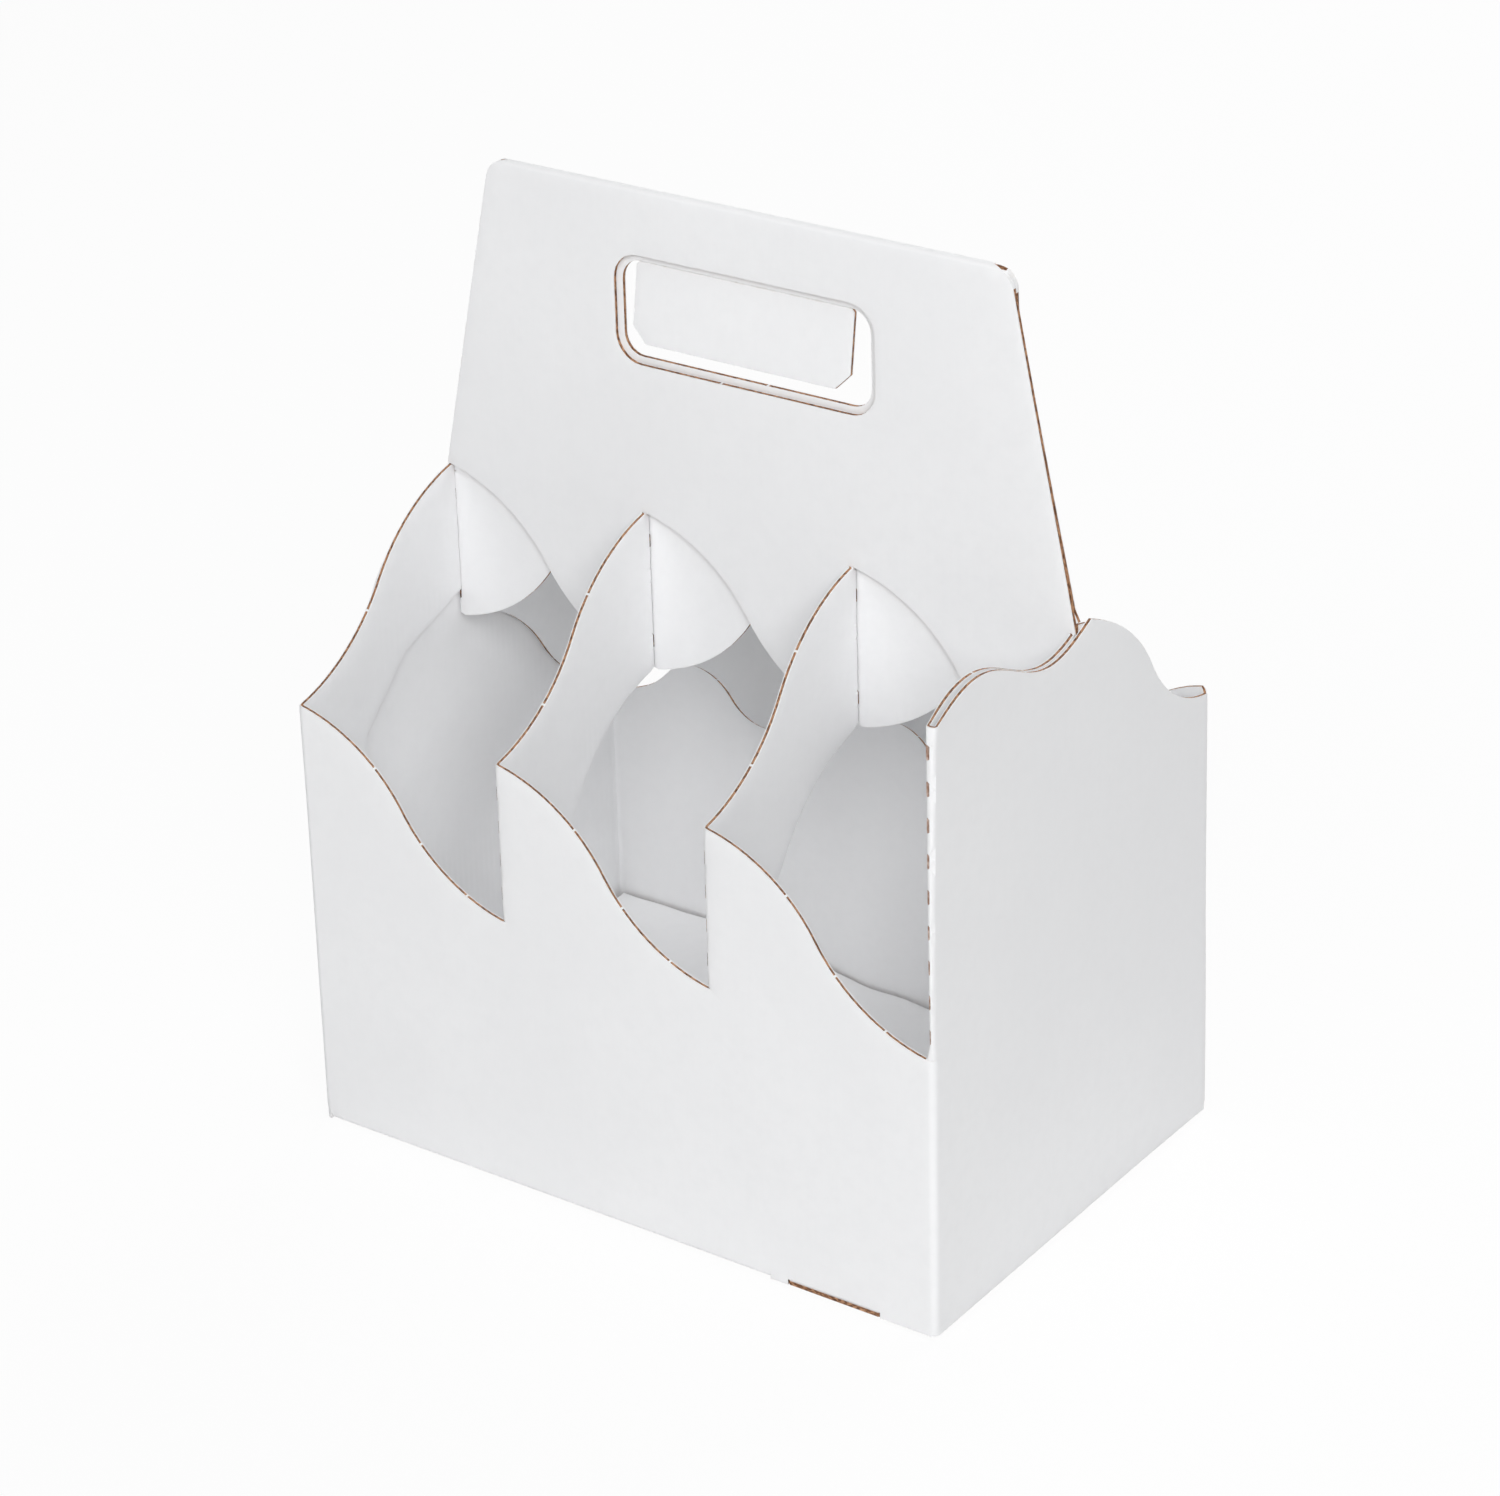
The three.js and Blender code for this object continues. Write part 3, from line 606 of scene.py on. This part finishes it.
def doubled_end(half):
    path = FoldPath((RIGHT, WALL_FOLD), -90, -1)
    path.straight(WALL_FOLD - DOUBLE_FOLD).turn(-90, BOARD).straight(LINER_GAP)
    corner = path.turn(-90, BOARD).length
    band = corner - DOUBLE_FOLD
    centre = path.straight(CENTRE_FOLD - DOUBLE_FOLD).turn(90, FOLD_INNER, 8, SHARP).length
    top = wave_height(CENTRE_FOLD)

    def on_band(points):
        return [(band + y, z) for y, z in points]

    o = Outline()
    o.join((0, wave_height(WALL_FOLD)), (0, LOW_EDGE))
    o.line([(0, LOW_EDGE), (corner, LOW_EDGE)])
    rise = scoop((DOUBLE_FOLD, LOW_EDGE), (CENTRE_FOLD, POST_TOP))
    o.line(on_band(rise) + [(centre, POST_TOP)], (0.4, 0.75))
    o.join((centre, POST_TOP), (centre, top))
    o.line([(centre, top)] + on_band(wave(CENTRE_FOLD, DOUBLE_FOLD)), (0.35, 0.7))
    o.line([(corner, PEAK), (WALL_FOLD - DOUBLE_FOLD, PEAK), (0, wave_height(WALL_FOLD))])
    cuts = slits_along(corner - CORNER_SLITS_FROM_FOLD, LOW_EDGE, PEAK, CORNER_SLIT_HALF_WIDTH, TORN)
    cuts += slits_along(centre - CENTRE_SLITS_FROM_FOLD, POST_TOP, top, CENTRE_SLIT_HALF_WIDTH, BROWN, True)
    half.add(o, path, upright, bend=lambda spots: glued_inside(sprung(spots)), slits=cuts)


for half in (front_half, back_half):
    doubled_end(half)

# ---- Dividers ----
# Bands that the nested S cuts free between the cells. Each leaves the long wall at a
# perforated crease, rises, and folds into the handle at another one.

DIVIDER_SLIT_HALF_WIDTH = 0.3


def divider(half, index):
    face = divider_face(index)
    path = FoldPath((face + FOLD_OUTER, FRONT), 180, -1)
    fold = path.turn(-90, FOLD_OUTER).length
    centre = path.straight(CENTRE_FOLD - WALL_FOLD).turn(90, FOLD_INNER, 8, SHARP).length

    def on_band(points):
        return [(fold + y - WALL_FOLD, z) for y, z in points]

    o = Outline()
    o.join((0, POST_TOP), (0, LOW_EDGE))
    o.line([(0, LOW_EDGE), (fold, LOW_EDGE)])
    rise = scoop((WALL_FOLD, LOW_EDGE), (CENTRE_FOLD, POST_TOP))
    o.line(on_band(rise) + [(centre, POST_TOP)], (0.3, 0.62))
    o.join((centre, POST_TOP), (centre, PEAK))
    o.line([(centre, PEAK)] + on_band(scoop((CENTRE_FOLD, PEAK), (WALL_FOLD, POST_TOP))), (0.36, 0.74))
    o.line([(fold, POST_TOP), (0, POST_TOP)])
    cuts = slits_along(fold / 2, LOW_EDGE, POST_TOP, DIVIDER_SLIT_HALF_WIDTH, BROWN)
    cuts += slits_along(centre - CENTRE_SLITS_FROM_FOLD, POST_TOP, PEAK, CENTRE_SLIT_HALF_WIDTH, BROWN, True)
    half.add(o, path, upright, bend=glued_inside, slits=cuts)


for half in (front_half, back_half):
    for index in range(1, CELLS):
        divider(half, index)

# ---- Handle ----
# Two layers of board glued face to face and folded over from one to the other at the top.
# The hole in the back layer keeps its flap, and the one in the front layer is larger all round.

HANDLE_FOOT = LINER_FACE + BOARD
HANDLE_TOP_WIDTH, HANDLE_CORNER = 164.6, 7.0
BACK_LAYER_INSET = 1.15  # one edge of the back layer is cut short, and hides behind the front
HOLE_WIDTH, HOLE_HEIGHT, HOLE_DROP, HOLE_CORNER, HOLE_MARGIN = 79.4, 27.0, 20.6, 6.0, 2.0
HOLE_TOP = HANDLE_HEIGHT - HOLE_DROP


def swung_up(plan, sideways):
    """For a path drawn as (y, z), which the panel crosses from left to right."""
    return np.column_stack([sideways, plan])


def handle_layer(half, margin, inset=0.0):
    fold_start = HANDLE_HEIGHT - BOARD
    path = FoldPath((-BOARD, 0), 90, -1).straight(fold_start).turn(-90, BOARD, 6)

    def up(x, z):
        over = min(max((z - fold_start) / BOARD, 0.0), 1.0)
        return (min(z, fold_start) + BOARD * math.asin(over), x)

    foot_top, top_half = wave_height(CENTRE_FOLD), HANDLE_TOP_WIDTH / 2
    slope = (HANDLE_FOOT - top_half) / (HANDLE_HEIGHT - PEAK)
    lean = math.degrees(math.atan(slope))
    centre_x = top_half + slope * HANDLE_CORNER - HANDLE_CORNER / math.cos(math.atan(slope))
    centre_z = HANDLE_HEIGHT - HANDLE_CORNER
    o = Outline()
    before = []
    for cell in range(CELLS):
        left = divider_face(cell) + BOARD if cell else -HANDLE_FOOT
        right = divider_face(cell + 1) + BOARD - FOLD_OUTER
        o.line([up(x, z) for x, z in before + [(left, PEAK)]])
        o.line([up(x, z) for x, z in scoop((left, PEAK), (right, POST_TOP))], (0.33, 0.66))
        before = [(right, foot_top if cell == CELLS - 1 else PEAK)]
        o.join(up(right, POST_TOP), up(*before[0]))
    right_side = before + [(HANDLE_FOOT, foot_top)] + arc((centre_x, centre_z), HANDLE_CORNER, lean, 90, 14)
    left_side = arc((-centre_x, centre_z), HANDLE_CORNER, 90, 180 - lean, 14)
    (x, z), (foot_x, foot_z) = left_side[-1], (-HANDLE_FOOT, PEAK)
    # the inset ends at the foot; stops are shares of the way down and of the inset
    left_side += [(x + (foot_x - x) * down + inset * part, z + (foot_z - z) * down)
                  for down, part in ((0.08, 1.0), (0.7, 1.0), (0.965, 0.8), (1.0, 0.0))]
    o.line([up(x, z) for x, z in right_side])
    o.join(up(*right_side[-1]), up(*left_side[0]))
    o.line([up(x, z) for x, z in left_side])
    # the liners close over the cut edge round the top corners
    low, high = (up(0, HANDLE_HEIGHT - below)[0] for below in (0.8 * HANDLE_CORNER, 0.6 * BOARD))
    o.keep_liner(lambda z, x: low < z < high)
    radius = HOLE_CORNER + margin
    side = HOLE_WIDTH / 2 + margin - radius
    foot, head = HOLE_TOP - HOLE_HEIGHT - margin + radius, HOLE_TOP + margin - radius
    corners = (-side, foot, 180), (side, foot, 270), (side, head, 0), (-side, head, 90)
    ring = [point for x, z, turn in corners for point in arc((x, z), radius, turn, turn + 90)]
    hole = Outline().line([up(x, z) for x, z in ring + ring[:1]], (0.18, 0.68))
    if not margin:  # the flap hangs from an uncut crease
        hole.keep_liner(lambda z, x: z > HOLE_TOP - CUT_GAP)
    half.add(o, path, swung_up, [hole], glued_inside, flutes_along=True, glued=True)


handle_layer(front_half, HOLE_MARGIN)
handle_layer(back_half, 0.0, BACK_LAYER_INSET)

# ---- Bottom flaps ----
# The back wall's flap lies on the ground and holds with an arm and a tongue in the front
# wall's slot. The front wall's flap lies over it, and its free edge stands up a little.

TONGUE_INSET, FLOOR_SPRING, FLOOR_LAP_CLEARANCE = 0.2, 5.5, 0.4
UPPER_FLAP_END = DEPTH / 2 - BOARD - FLOOR_CLEARANCE
FLAPS_MEET = WALL_FOLD + (BOARD + FLOOR_LAP_CLEARANCE) / FLOOR_SPRING * (UPPER_FLAP_END - WALL_FOLD)
EDGE_UP_LEFT, EDGE_DOWN_RIGHT, WARP_FROM, WARP_RUN = 2.7, 3.3, -46.0, 38.0
FREE_EDGE_STEPS, TEAR_DEPTH, TEAR_AT, TEAR_WIDTH = 40, 1.5, 15.0, 7.0
RAGGED_DEPTH, RAGGED_LENGTH = 0.35, 5.5
UPPER_FLAP_SHORT = 0.4  # so that its slanting end clears the back wall
# the second: how far past the arm's end the tongue's cut edge turns brown, partly as painted shade in the
# slot's gap over it
TONGUE_CORNER, PAINTED_GAP_MARGIN = 0.4, 0.3


def bottom_outline(front_edges, left, right, fold):
    o = Outline()
    o.join((0, right), (0, left))
    o.line([(0, left), (fold, left), *front_edges, (fold, right), (0, right)])
    return o


def lower_flap(half):
    path = FoldPath((-FRONT, FOLD_OUTER), -90, -1)
    fold = path.turn(-90, FOLD_OUTER).length
    path.straight(-WALL_FOLD - FRONT)
    arm_end, tongue_end = FRONT + BOARD + FLOOR_CLEARANCE, FRONT + TONGUE_INSET
    corners = [(-FLOOR_EDGE, FLAPS_MEET), (ARM_EDGE, FLAPS_MEET), (ARM_EDGE, arm_end), (TONGUE_LEFT, arm_end),
               (TONGUE_LEFT, tongue_end + TONGUE_CORNER), (TONGUE_LEFT + TONGUE_CORNER, tongue_end),
               (TONGUE_RIGHT - TONGUE_CORNER, tongue_end), (TONGUE_RIGHT, tongue_end + TONGUE_CORNER),
               (TONGUE_RIGHT, arm_end), (FLOOR_EDGE, arm_end)]
    o = bottom_outline([(fold - WALL_FOLD - y, x) for x, y in corners], -FLOOR_EDGE, FLOOR_EDGE, fold)
    # the tongue's cut edges, past the arm, take the core's brown: partly painted shade in the slot's gap over
    # them
    half.add(o, path, swung_up, flutes_along=True, bare=fold - WALL_FOLD - arm_end + PAINTED_GAP_MARGIN)


def upper_flap(half):
    slant = math.degrees(math.atan(FLOOR_SPRING / (UPPER_FLAP_END - WALL_FOLD)))
    path = FoldPath((FRONT, FOLD_OUTER), -90, 1)
    fold = path.turn(90 + slant, FOLD_OUTER).length
    reach = math.hypot(UPPER_FLAP_END - WALL_FOLD, FLOOR_SPRING) - UPPER_FLAP_SHORT
    path.straight(reach)
    free_edge = []
    for k in range(FREE_EDGE_STEPS + 1):
        x = -FLOOR_EDGE + (UPPER_FLAP_EDGE + FLOOR_EDGE) * k / FREE_EDGE_STEPS
        torn_away = TEAR_DEPTH * math.exp(-((x - TEAR_AT) / TEAR_WIDTH) ** 2)
        torn_away += RAGGED_DEPTH * math.sin(x / RAGGED_LENGTH) ** 2
        free_edge.append((fold + reach - 0.1 - torn_away, x))
    o = bottom_outline(free_edge, -FLOOR_EDGE, UPPER_FLAP_EDGE, fold)

    def warped(spots):
        """Left, the free edge springs up further; right, it almost lies on the flap under it."""
        past_lap = np.clip((spots[:, 1] - FLAPS_MEET) / (UPPER_FLAP_END - FLAPS_MEET), 0, 1)
        to_right = np.array([eased((x - WARP_FROM) / WARP_RUN) for x in spots[:, 0]])
        rise = past_lap * (EDGE_UP_LEFT - (EDGE_UP_LEFT + EDGE_DOWN_RIGHT) * to_right)
        return spots + np.outer(rise, (0, 0, 1))

    half.add(o, path, swung_up, bend=warped, flutes_along=True)


bottom = Sheets()
lower_flap(bottom)
upper_flap(bottom)

# ---- The whole carton, and the finish of its board ----
# All panels are one sheet of board, so they are joined into one piece. Its liners are clay
# coated white paper, and every cut edge shows the brown fluted paper between them.

FLUTE_PITCH = 2.4


class Shade:
    """A shader value: arithmetic on it adds Math nodes to its tree."""

    def __init__(self, nodes, socket):
        self.nodes, self.socket = nodes, socket

    def math(self, operation, *values):
        return self.nodes.node("ShaderNodeMath", {"operation": operation}, dict(enumerate(values)))

    def __add__(self, other):
        return self.math("ADD", self, other)

    def __sub__(self, other):
        return self.math("SUBTRACT", self, other)

    def __rsub__(self, other):
        return self.math("SUBTRACT", other, self)

    def __mul__(self, other):
        return self.math("MULTIPLY", self, other)

    __radd__, __rmul__ = __add__, __mul__

    def sine(self):
        return self.math("SINE", self)

    def size(self):
        return self.math("ABSOLUTE", self)

    def ramp(self, low, high):
        """0 below low and 1 above high, with a smooth rise between."""
        return self.nodes.node("ShaderNodeMapRange", {"interpolation_type": "SMOOTHSTEP"},
                               {"Value": self, "From Min": low, "From Max": high})


class Nodes:
    """Adds nodes to one tree."""

    def __init__(self, tree):
        self.tree = tree

    def node(self, kind, settings=None, values=None, output=0):
        made = self.tree.nodes.new(kind)
        for name, value in (settings or {}).items():
            setattr(made, name, value)
        for name, value in (values or {}).items():
            self.feed(made.inputs[name], value)
        return Shade(self, made.outputs[output])

    def feed(self, socket, value):
        if isinstance(value, Shade):
            self.tree.links.new(value.socket, socket)
        else:
            socket.default_value = value

    def noise(self, where, scale, detail=2.0, roughness=0.5):
        return self.node("ShaderNodeTexNoise", None, {
            "Vector": where, "Scale": scale, "Detail": detail, "Roughness": roughness})

    def mix(self, share, first, second):
        return self.node("ShaderNodeMix", {"data_type": "RGBA"}, {0: share, 6: first, 7: second}, 2)

    def stretched(self, where, scale):
        return self.node("ShaderNodeVectorMath", {"operation": "MULTIPLY"}, {0: where, 1: scale})

    def split(self, where, axis):
        return self.node("ShaderNodeSeparateXYZ", None, {0: where}, axis)

    def attribute(self, name):
        return self.node("ShaderNodeAttribute", {"attribute_name": name}, None, "Fac")


class Finish(Nodes):
    """A material, with its place on the flat sheet and in space to hand."""

    def __init__(self, name):
        self.material = bpy.data.materials.new(name)
        self.material.use_nodes = True
        super().__init__(self.material.node_tree)
        self.shader = self.tree.nodes["Principled BSDF"]
        self.output = self.tree.nodes["Material Output"]

    def flat(self):
        return self.node("ShaderNodeUVMap", {"uv_map": "flat"})

    def place(self):
        return self.node("ShaderNodeTexCoord", None, None, "Object")

    def surface(self, colour, roughness, specular):
        looks = {"Base Color": colour, "Roughness": roughness, "Specular IOR Level": specular}
        for name, value in looks.items():
            self.feed(self.shader.inputs[name], value)
        return self

    def bump(self, height, strength, distance):
        raised = {"Strength": strength, "Distance": distance, "Height": height}
        self.feed(self.shader.inputs["Normal"], self.node("ShaderNodeBump", None, raised))
        return self.material


def white_liner():
    finish = Finish("white_clay_liner")
    flat, place = finish.flat(), finish.place()
    cloud = finish.noise(place, 14.0, 3.0)
    mottle = finish.noise(place, 260.0, 4.0, 0.6)
    fibre = finish.noise(finish.stretched(flat, (1500.0, 420.0, 1.0)), 1.0, 3.0, 0.65)
    edge = finish.attribute("edge")
    worn = (1 - edge.ramp(0.0, 0.45)) * finish.noise(place, 320.0, 2.0).ramp(0.42, 0.7)
    tone = finish.mix(cloud.ramp(0.35, 0.68), (0.915, 0.917, 0.926, 1), (0.938, 0.940, 0.948, 1))
    tone = finish.mix(mottle.ramp(0.35, 0.75) * 0.35, tone, (0.89, 0.893, 0.903, 1))
    tone = finish.mix(fibre.ramp(0.62, 0.82) * 0.18, tone, (0.72, 0.72, 0.72, 1))
    tone = finish.mix(worn * 0.2, tone, (0.60, 0.51, 0.44, 1))
    flutes = (finish.split(flat, 0) * (2000 * math.pi / FLUTE_PITCH)).sine()
    height = flutes * (0.35 + 0.4 * cloud) + mottle * 0.5 + fibre * 0.55
    return finish.surface(tone, 0.46 + 0.12 * mottle + 0.08 * fibre, 0.4).bump(height, 0.22, 0.00006)


def fluted_core():
    finish = Finish("brown_fluted_core")
    flat, place = finish.flat(), finish.place()
    depth = finish.attribute("depth")
    across = finish.split(flat, 0) * (2000 * math.pi / FLUTE_PITCH)
    wave_line = 0.5 + 0.36 * across.sine()
    paper = 1 - (depth - wave_line).size().ramp(0.10, 0.30)
    torn = finish.noise(place, 900.0, 3.0, 0.6)
    dashes = finish.noise(place, 760.0, 1.0)
    tan = finish.mix(torn.ramp(0.3, 0.7), (0.42, 0.205, 0.105, 1), (0.60, 0.345, 0.20, 1))
    # painted shade: away from the wave of fluted paper the cut edge gets a dark colour, standing for the
    # shade inside the open flutes
    painted_flute_shade = finish.mix(torn.ramp(0.35, 0.75), (0.11, 0.050, 0.027, 1), (0.22, 0.105, 0.056, 1))
    share = (paper * 0.6 + dashes.ramp(0.42, 0.56) * 0.6).ramp(0.15, 0.95)
    tone = finish.mix(share, painted_flute_shade, tan)
    return finish.surface(tone, 0.85 + 0.1 * torn, 0.2).bump(share + torn * 0.4, 0.6, 0.0002)


def torn_slit():
    """Brown paper between the torn white fibres of a perforation."""
    finish = Finish("torn_brown_slit")
    place = finish.place()
    torn = finish.noise(place, 700.0, 3.0, 0.6)
    tone = finish.mix(torn.ramp(0.35, 0.68), (0.30, 0.17, 0.115, 1), (0.62, 0.48, 0.42, 1))
    return finish.surface(tone, 0.8 + 0.15 * torn, 0.5).bump(torn, 0.5, 0.0001)


white, brown, torn = white_liner(), fluted_core(), torn_slit()
carton = Sheets()
carton.take(front_half)
carton.take(back_half, turned=True)
carton.take(bottom)
carton_board = carton.piece("carton_board", [white, brown, torn])
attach(carton_board, "carton_body")
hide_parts("carton")

# ---- Hand flap ----
# The board of the hand hole, cut on three sides and creased along its top. It was pushed
# through once, and hangs a little forward into the hole.

HAND_FLAP_WIDTH, HAND_FLAP_HEIGHT, HAND_FLAP_CHAMFER, HAND_FLAP_TILT = 69.5, 22.0, 4.5, 8.6
HAND_FLAP_CORNER = 0.9  # cut off beside the crease, to clear the hole's round corners
HINGE_GAP, FLAP_START, BEAD_BELOW_CREASE = 0.3, 40.0, 1.9


def hand_flap():
    tilt = math.radians(HAND_FLAP_TILT)

    def hung(plan, sideways):
        out, up = plan.T
        return np.column_stack([sideways, BOARD + out * math.cos(tilt) + up * math.sin(tilt),
                                HOLE_TOP - HINGE_GAP / 2 + up * math.cos(tilt) - out * math.sin(tilt)])

    side, drop, bottom_edge = HAND_FLAP_WIDTH / 2, -HINGE_GAP / 2, -HINGE_GAP / 2 - HAND_FLAP_HEIGHT
    slope, corner = HAND_FLAP_CHAMFER, HAND_FLAP_CORNER
    path = FoldPath((-BOARD, -FLAP_START), 90, -1).straight(FLAP_START)
    path.beads = [FLAP_START - BEAD_BELOW_CREASE]
    shape = [(side - corner, drop), (-side + corner, drop), (-side, drop - corner),
             (-side, bottom_edge + slope), (-side + slope, bottom_edge), (side - slope, bottom_edge),
             (side, bottom_edge + slope), (side, drop - corner), (side - corner, drop)]
    o = Outline().line([(FLAP_START + z, x) for x, z in shape[:2]])
    o.keep_liner(lambda z, x: True)
    o.line([(FLAP_START + z, x) for x, z in shape[1:]], (0.42, 0.71))
    flap = Sheets()
    flap.add(o, path, hung, flutes_along=True)
    return flap.piece("hand_flap_board", [white, brown])


hand_flap_board = hand_flap()
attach(hand_flap_board, "hand_flap_body")
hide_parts("hand_flap")

# ---- Studio ----
# A pale floor that is plain white to the camera but for the carrier's shadow, an even white
# surround, four soft lamps (front, right, back and top), and the camera.

FLOOR_REACH, FLOOR_DROP, FLOOR_GLOW = 4.0, 0.0006, 0.93
SURROUND_STRENGTH = 0.10
AIM, LAMP_SIZE = (0, 0, 0.12), 1.5

scene = bpy.context.scene
scene.view_settings.view_transform = "Standard"


def seen_directly(nodes):
    """1 where the camera sees the thing itself, its mirror image, or it through glass."""
    rays = nodes.node("ShaderNodeLightPath").socket.node
    seen = Shade(nodes, rays.outputs["Is Camera Ray"])
    for name in ("Is Glossy Ray", "Is Transmission Ray"):
        seen = seen.math("MAXIMUM", seen, Shade(nodes, rays.outputs[name]))
    return seen


def floor():
    finish = Finish("pale_floor")
    finish.surface((0.90, 0.90, 0.90, 1), 0.9, 0.0)
    shadowed = Shade(finish, finish.shader.outputs[0])
    glow = finish.node("ShaderNodeEmission", None, {"Color": (1, 1, 1, 1), "Strength": 1.0})
    share = seen_directly(finish) * FLOOR_GLOW
    mixed = finish.node("ShaderNodeMixShader", None, {0: share, 1: shadowed, 2: glow})
    finish.feed(finish.output.inputs["Surface"], mixed)
    corners = [(-FLOOR_REACH, -FLOOR_REACH), (FLOOR_REACH, -FLOOR_REACH),
               (FLOOR_REACH, FLOOR_REACH), (-FLOOR_REACH, FLOOR_REACH)]
    data = bpy.data.meshes.new("floor")
    data.from_pydata([(x, y, -FLOOR_DROP) for x, y in corners], [], [(0, 1, 2, 3)])
    data.materials.append(finish.material)
    made = bpy.data.objects.new("floor", data)
    bpy.context.collection.objects.link(made)
    return made


floor()


def surround():
    """It lights the carrier weakly, and is plain white where it is seen."""
    world = bpy.data.worlds.new("white_surround")
    scene.world = world
    world.use_nodes = True
    nodes = Nodes(world.node_tree)
    nodes.tree.nodes.clear()
    light, plain = (nodes.node("ShaderNodeBackground", None, {"Color": colour, "Strength": strength})
                    for colour, strength in (((0.97, 0.985, 1.0, 1), SURROUND_STRENGTH), ((1, 1, 1, 1), 1.0)))
    mixed = nodes.node("ShaderNodeMixShader", None, {0: seen_directly(nodes), 1: light, 2: plain})
    nodes.feed(nodes.tree.nodes.new("ShaderNodeOutputWorld").inputs["Surface"], mixed)


surround()


def lamp(name, place, power):
    data = bpy.data.lights.new(name, "AREA")
    data.shape, data.size, data.energy = "DISK", LAMP_SIZE, power
    made = bpy.data.objects.new(name, data)
    bpy.context.collection.objects.link(made)
    made.location = place
    made.rotation_euler = (Vector(AIM) - Vector(place)).to_track_quat("-Z", "Y").to_euler()


lamp("front_lamp", (0, -2.0, 1.6), 13)
lamp("right_lamp", (1.6, -1.6, 1.6), 38)
lamp("back_lamp", (0, 2.0, 1.6), 24)
lamp("top_lamp", (0.3, -0.3, 2.6), 10)


def camera(azimuth, elevation, roll, lens, distance, aside, aloft):
    """It looks past the aim by a little, aside and aloft. Angles are in degrees."""
    a, e, r = (math.radians(angle) for angle in (azimuth, elevation, roll))
    back = Vector((math.sin(a) * math.cos(e), -math.cos(a) * math.cos(e), math.sin(e)))
    right = Vector((math.cos(a), math.sin(a), 0))
    up = back.cross(right)
    place = Vector(AIM) + back * distance + right * aside + up * aloft
    rolled = right * math.cos(r) + up * math.sin(r)
    data = bpy.data.cameras.new("camera")
    data.sensor_width, data.lens = 36, lens
    made = bpy.data.objects.new("camera", data)
    bpy.context.collection.objects.link(made)
    turn = Matrix((rolled, back.cross(rolled), back)).transposed()
    made.matrix_world = Matrix.Translation(place) @ turn.to_4x4()
    scene.camera = made


camera(azimuth=35.7938, elevation=26.2380, roll=-1.5201, lens=107.12, distance=1.21686,
       aside=-0.001575, aloft=-0.005012)
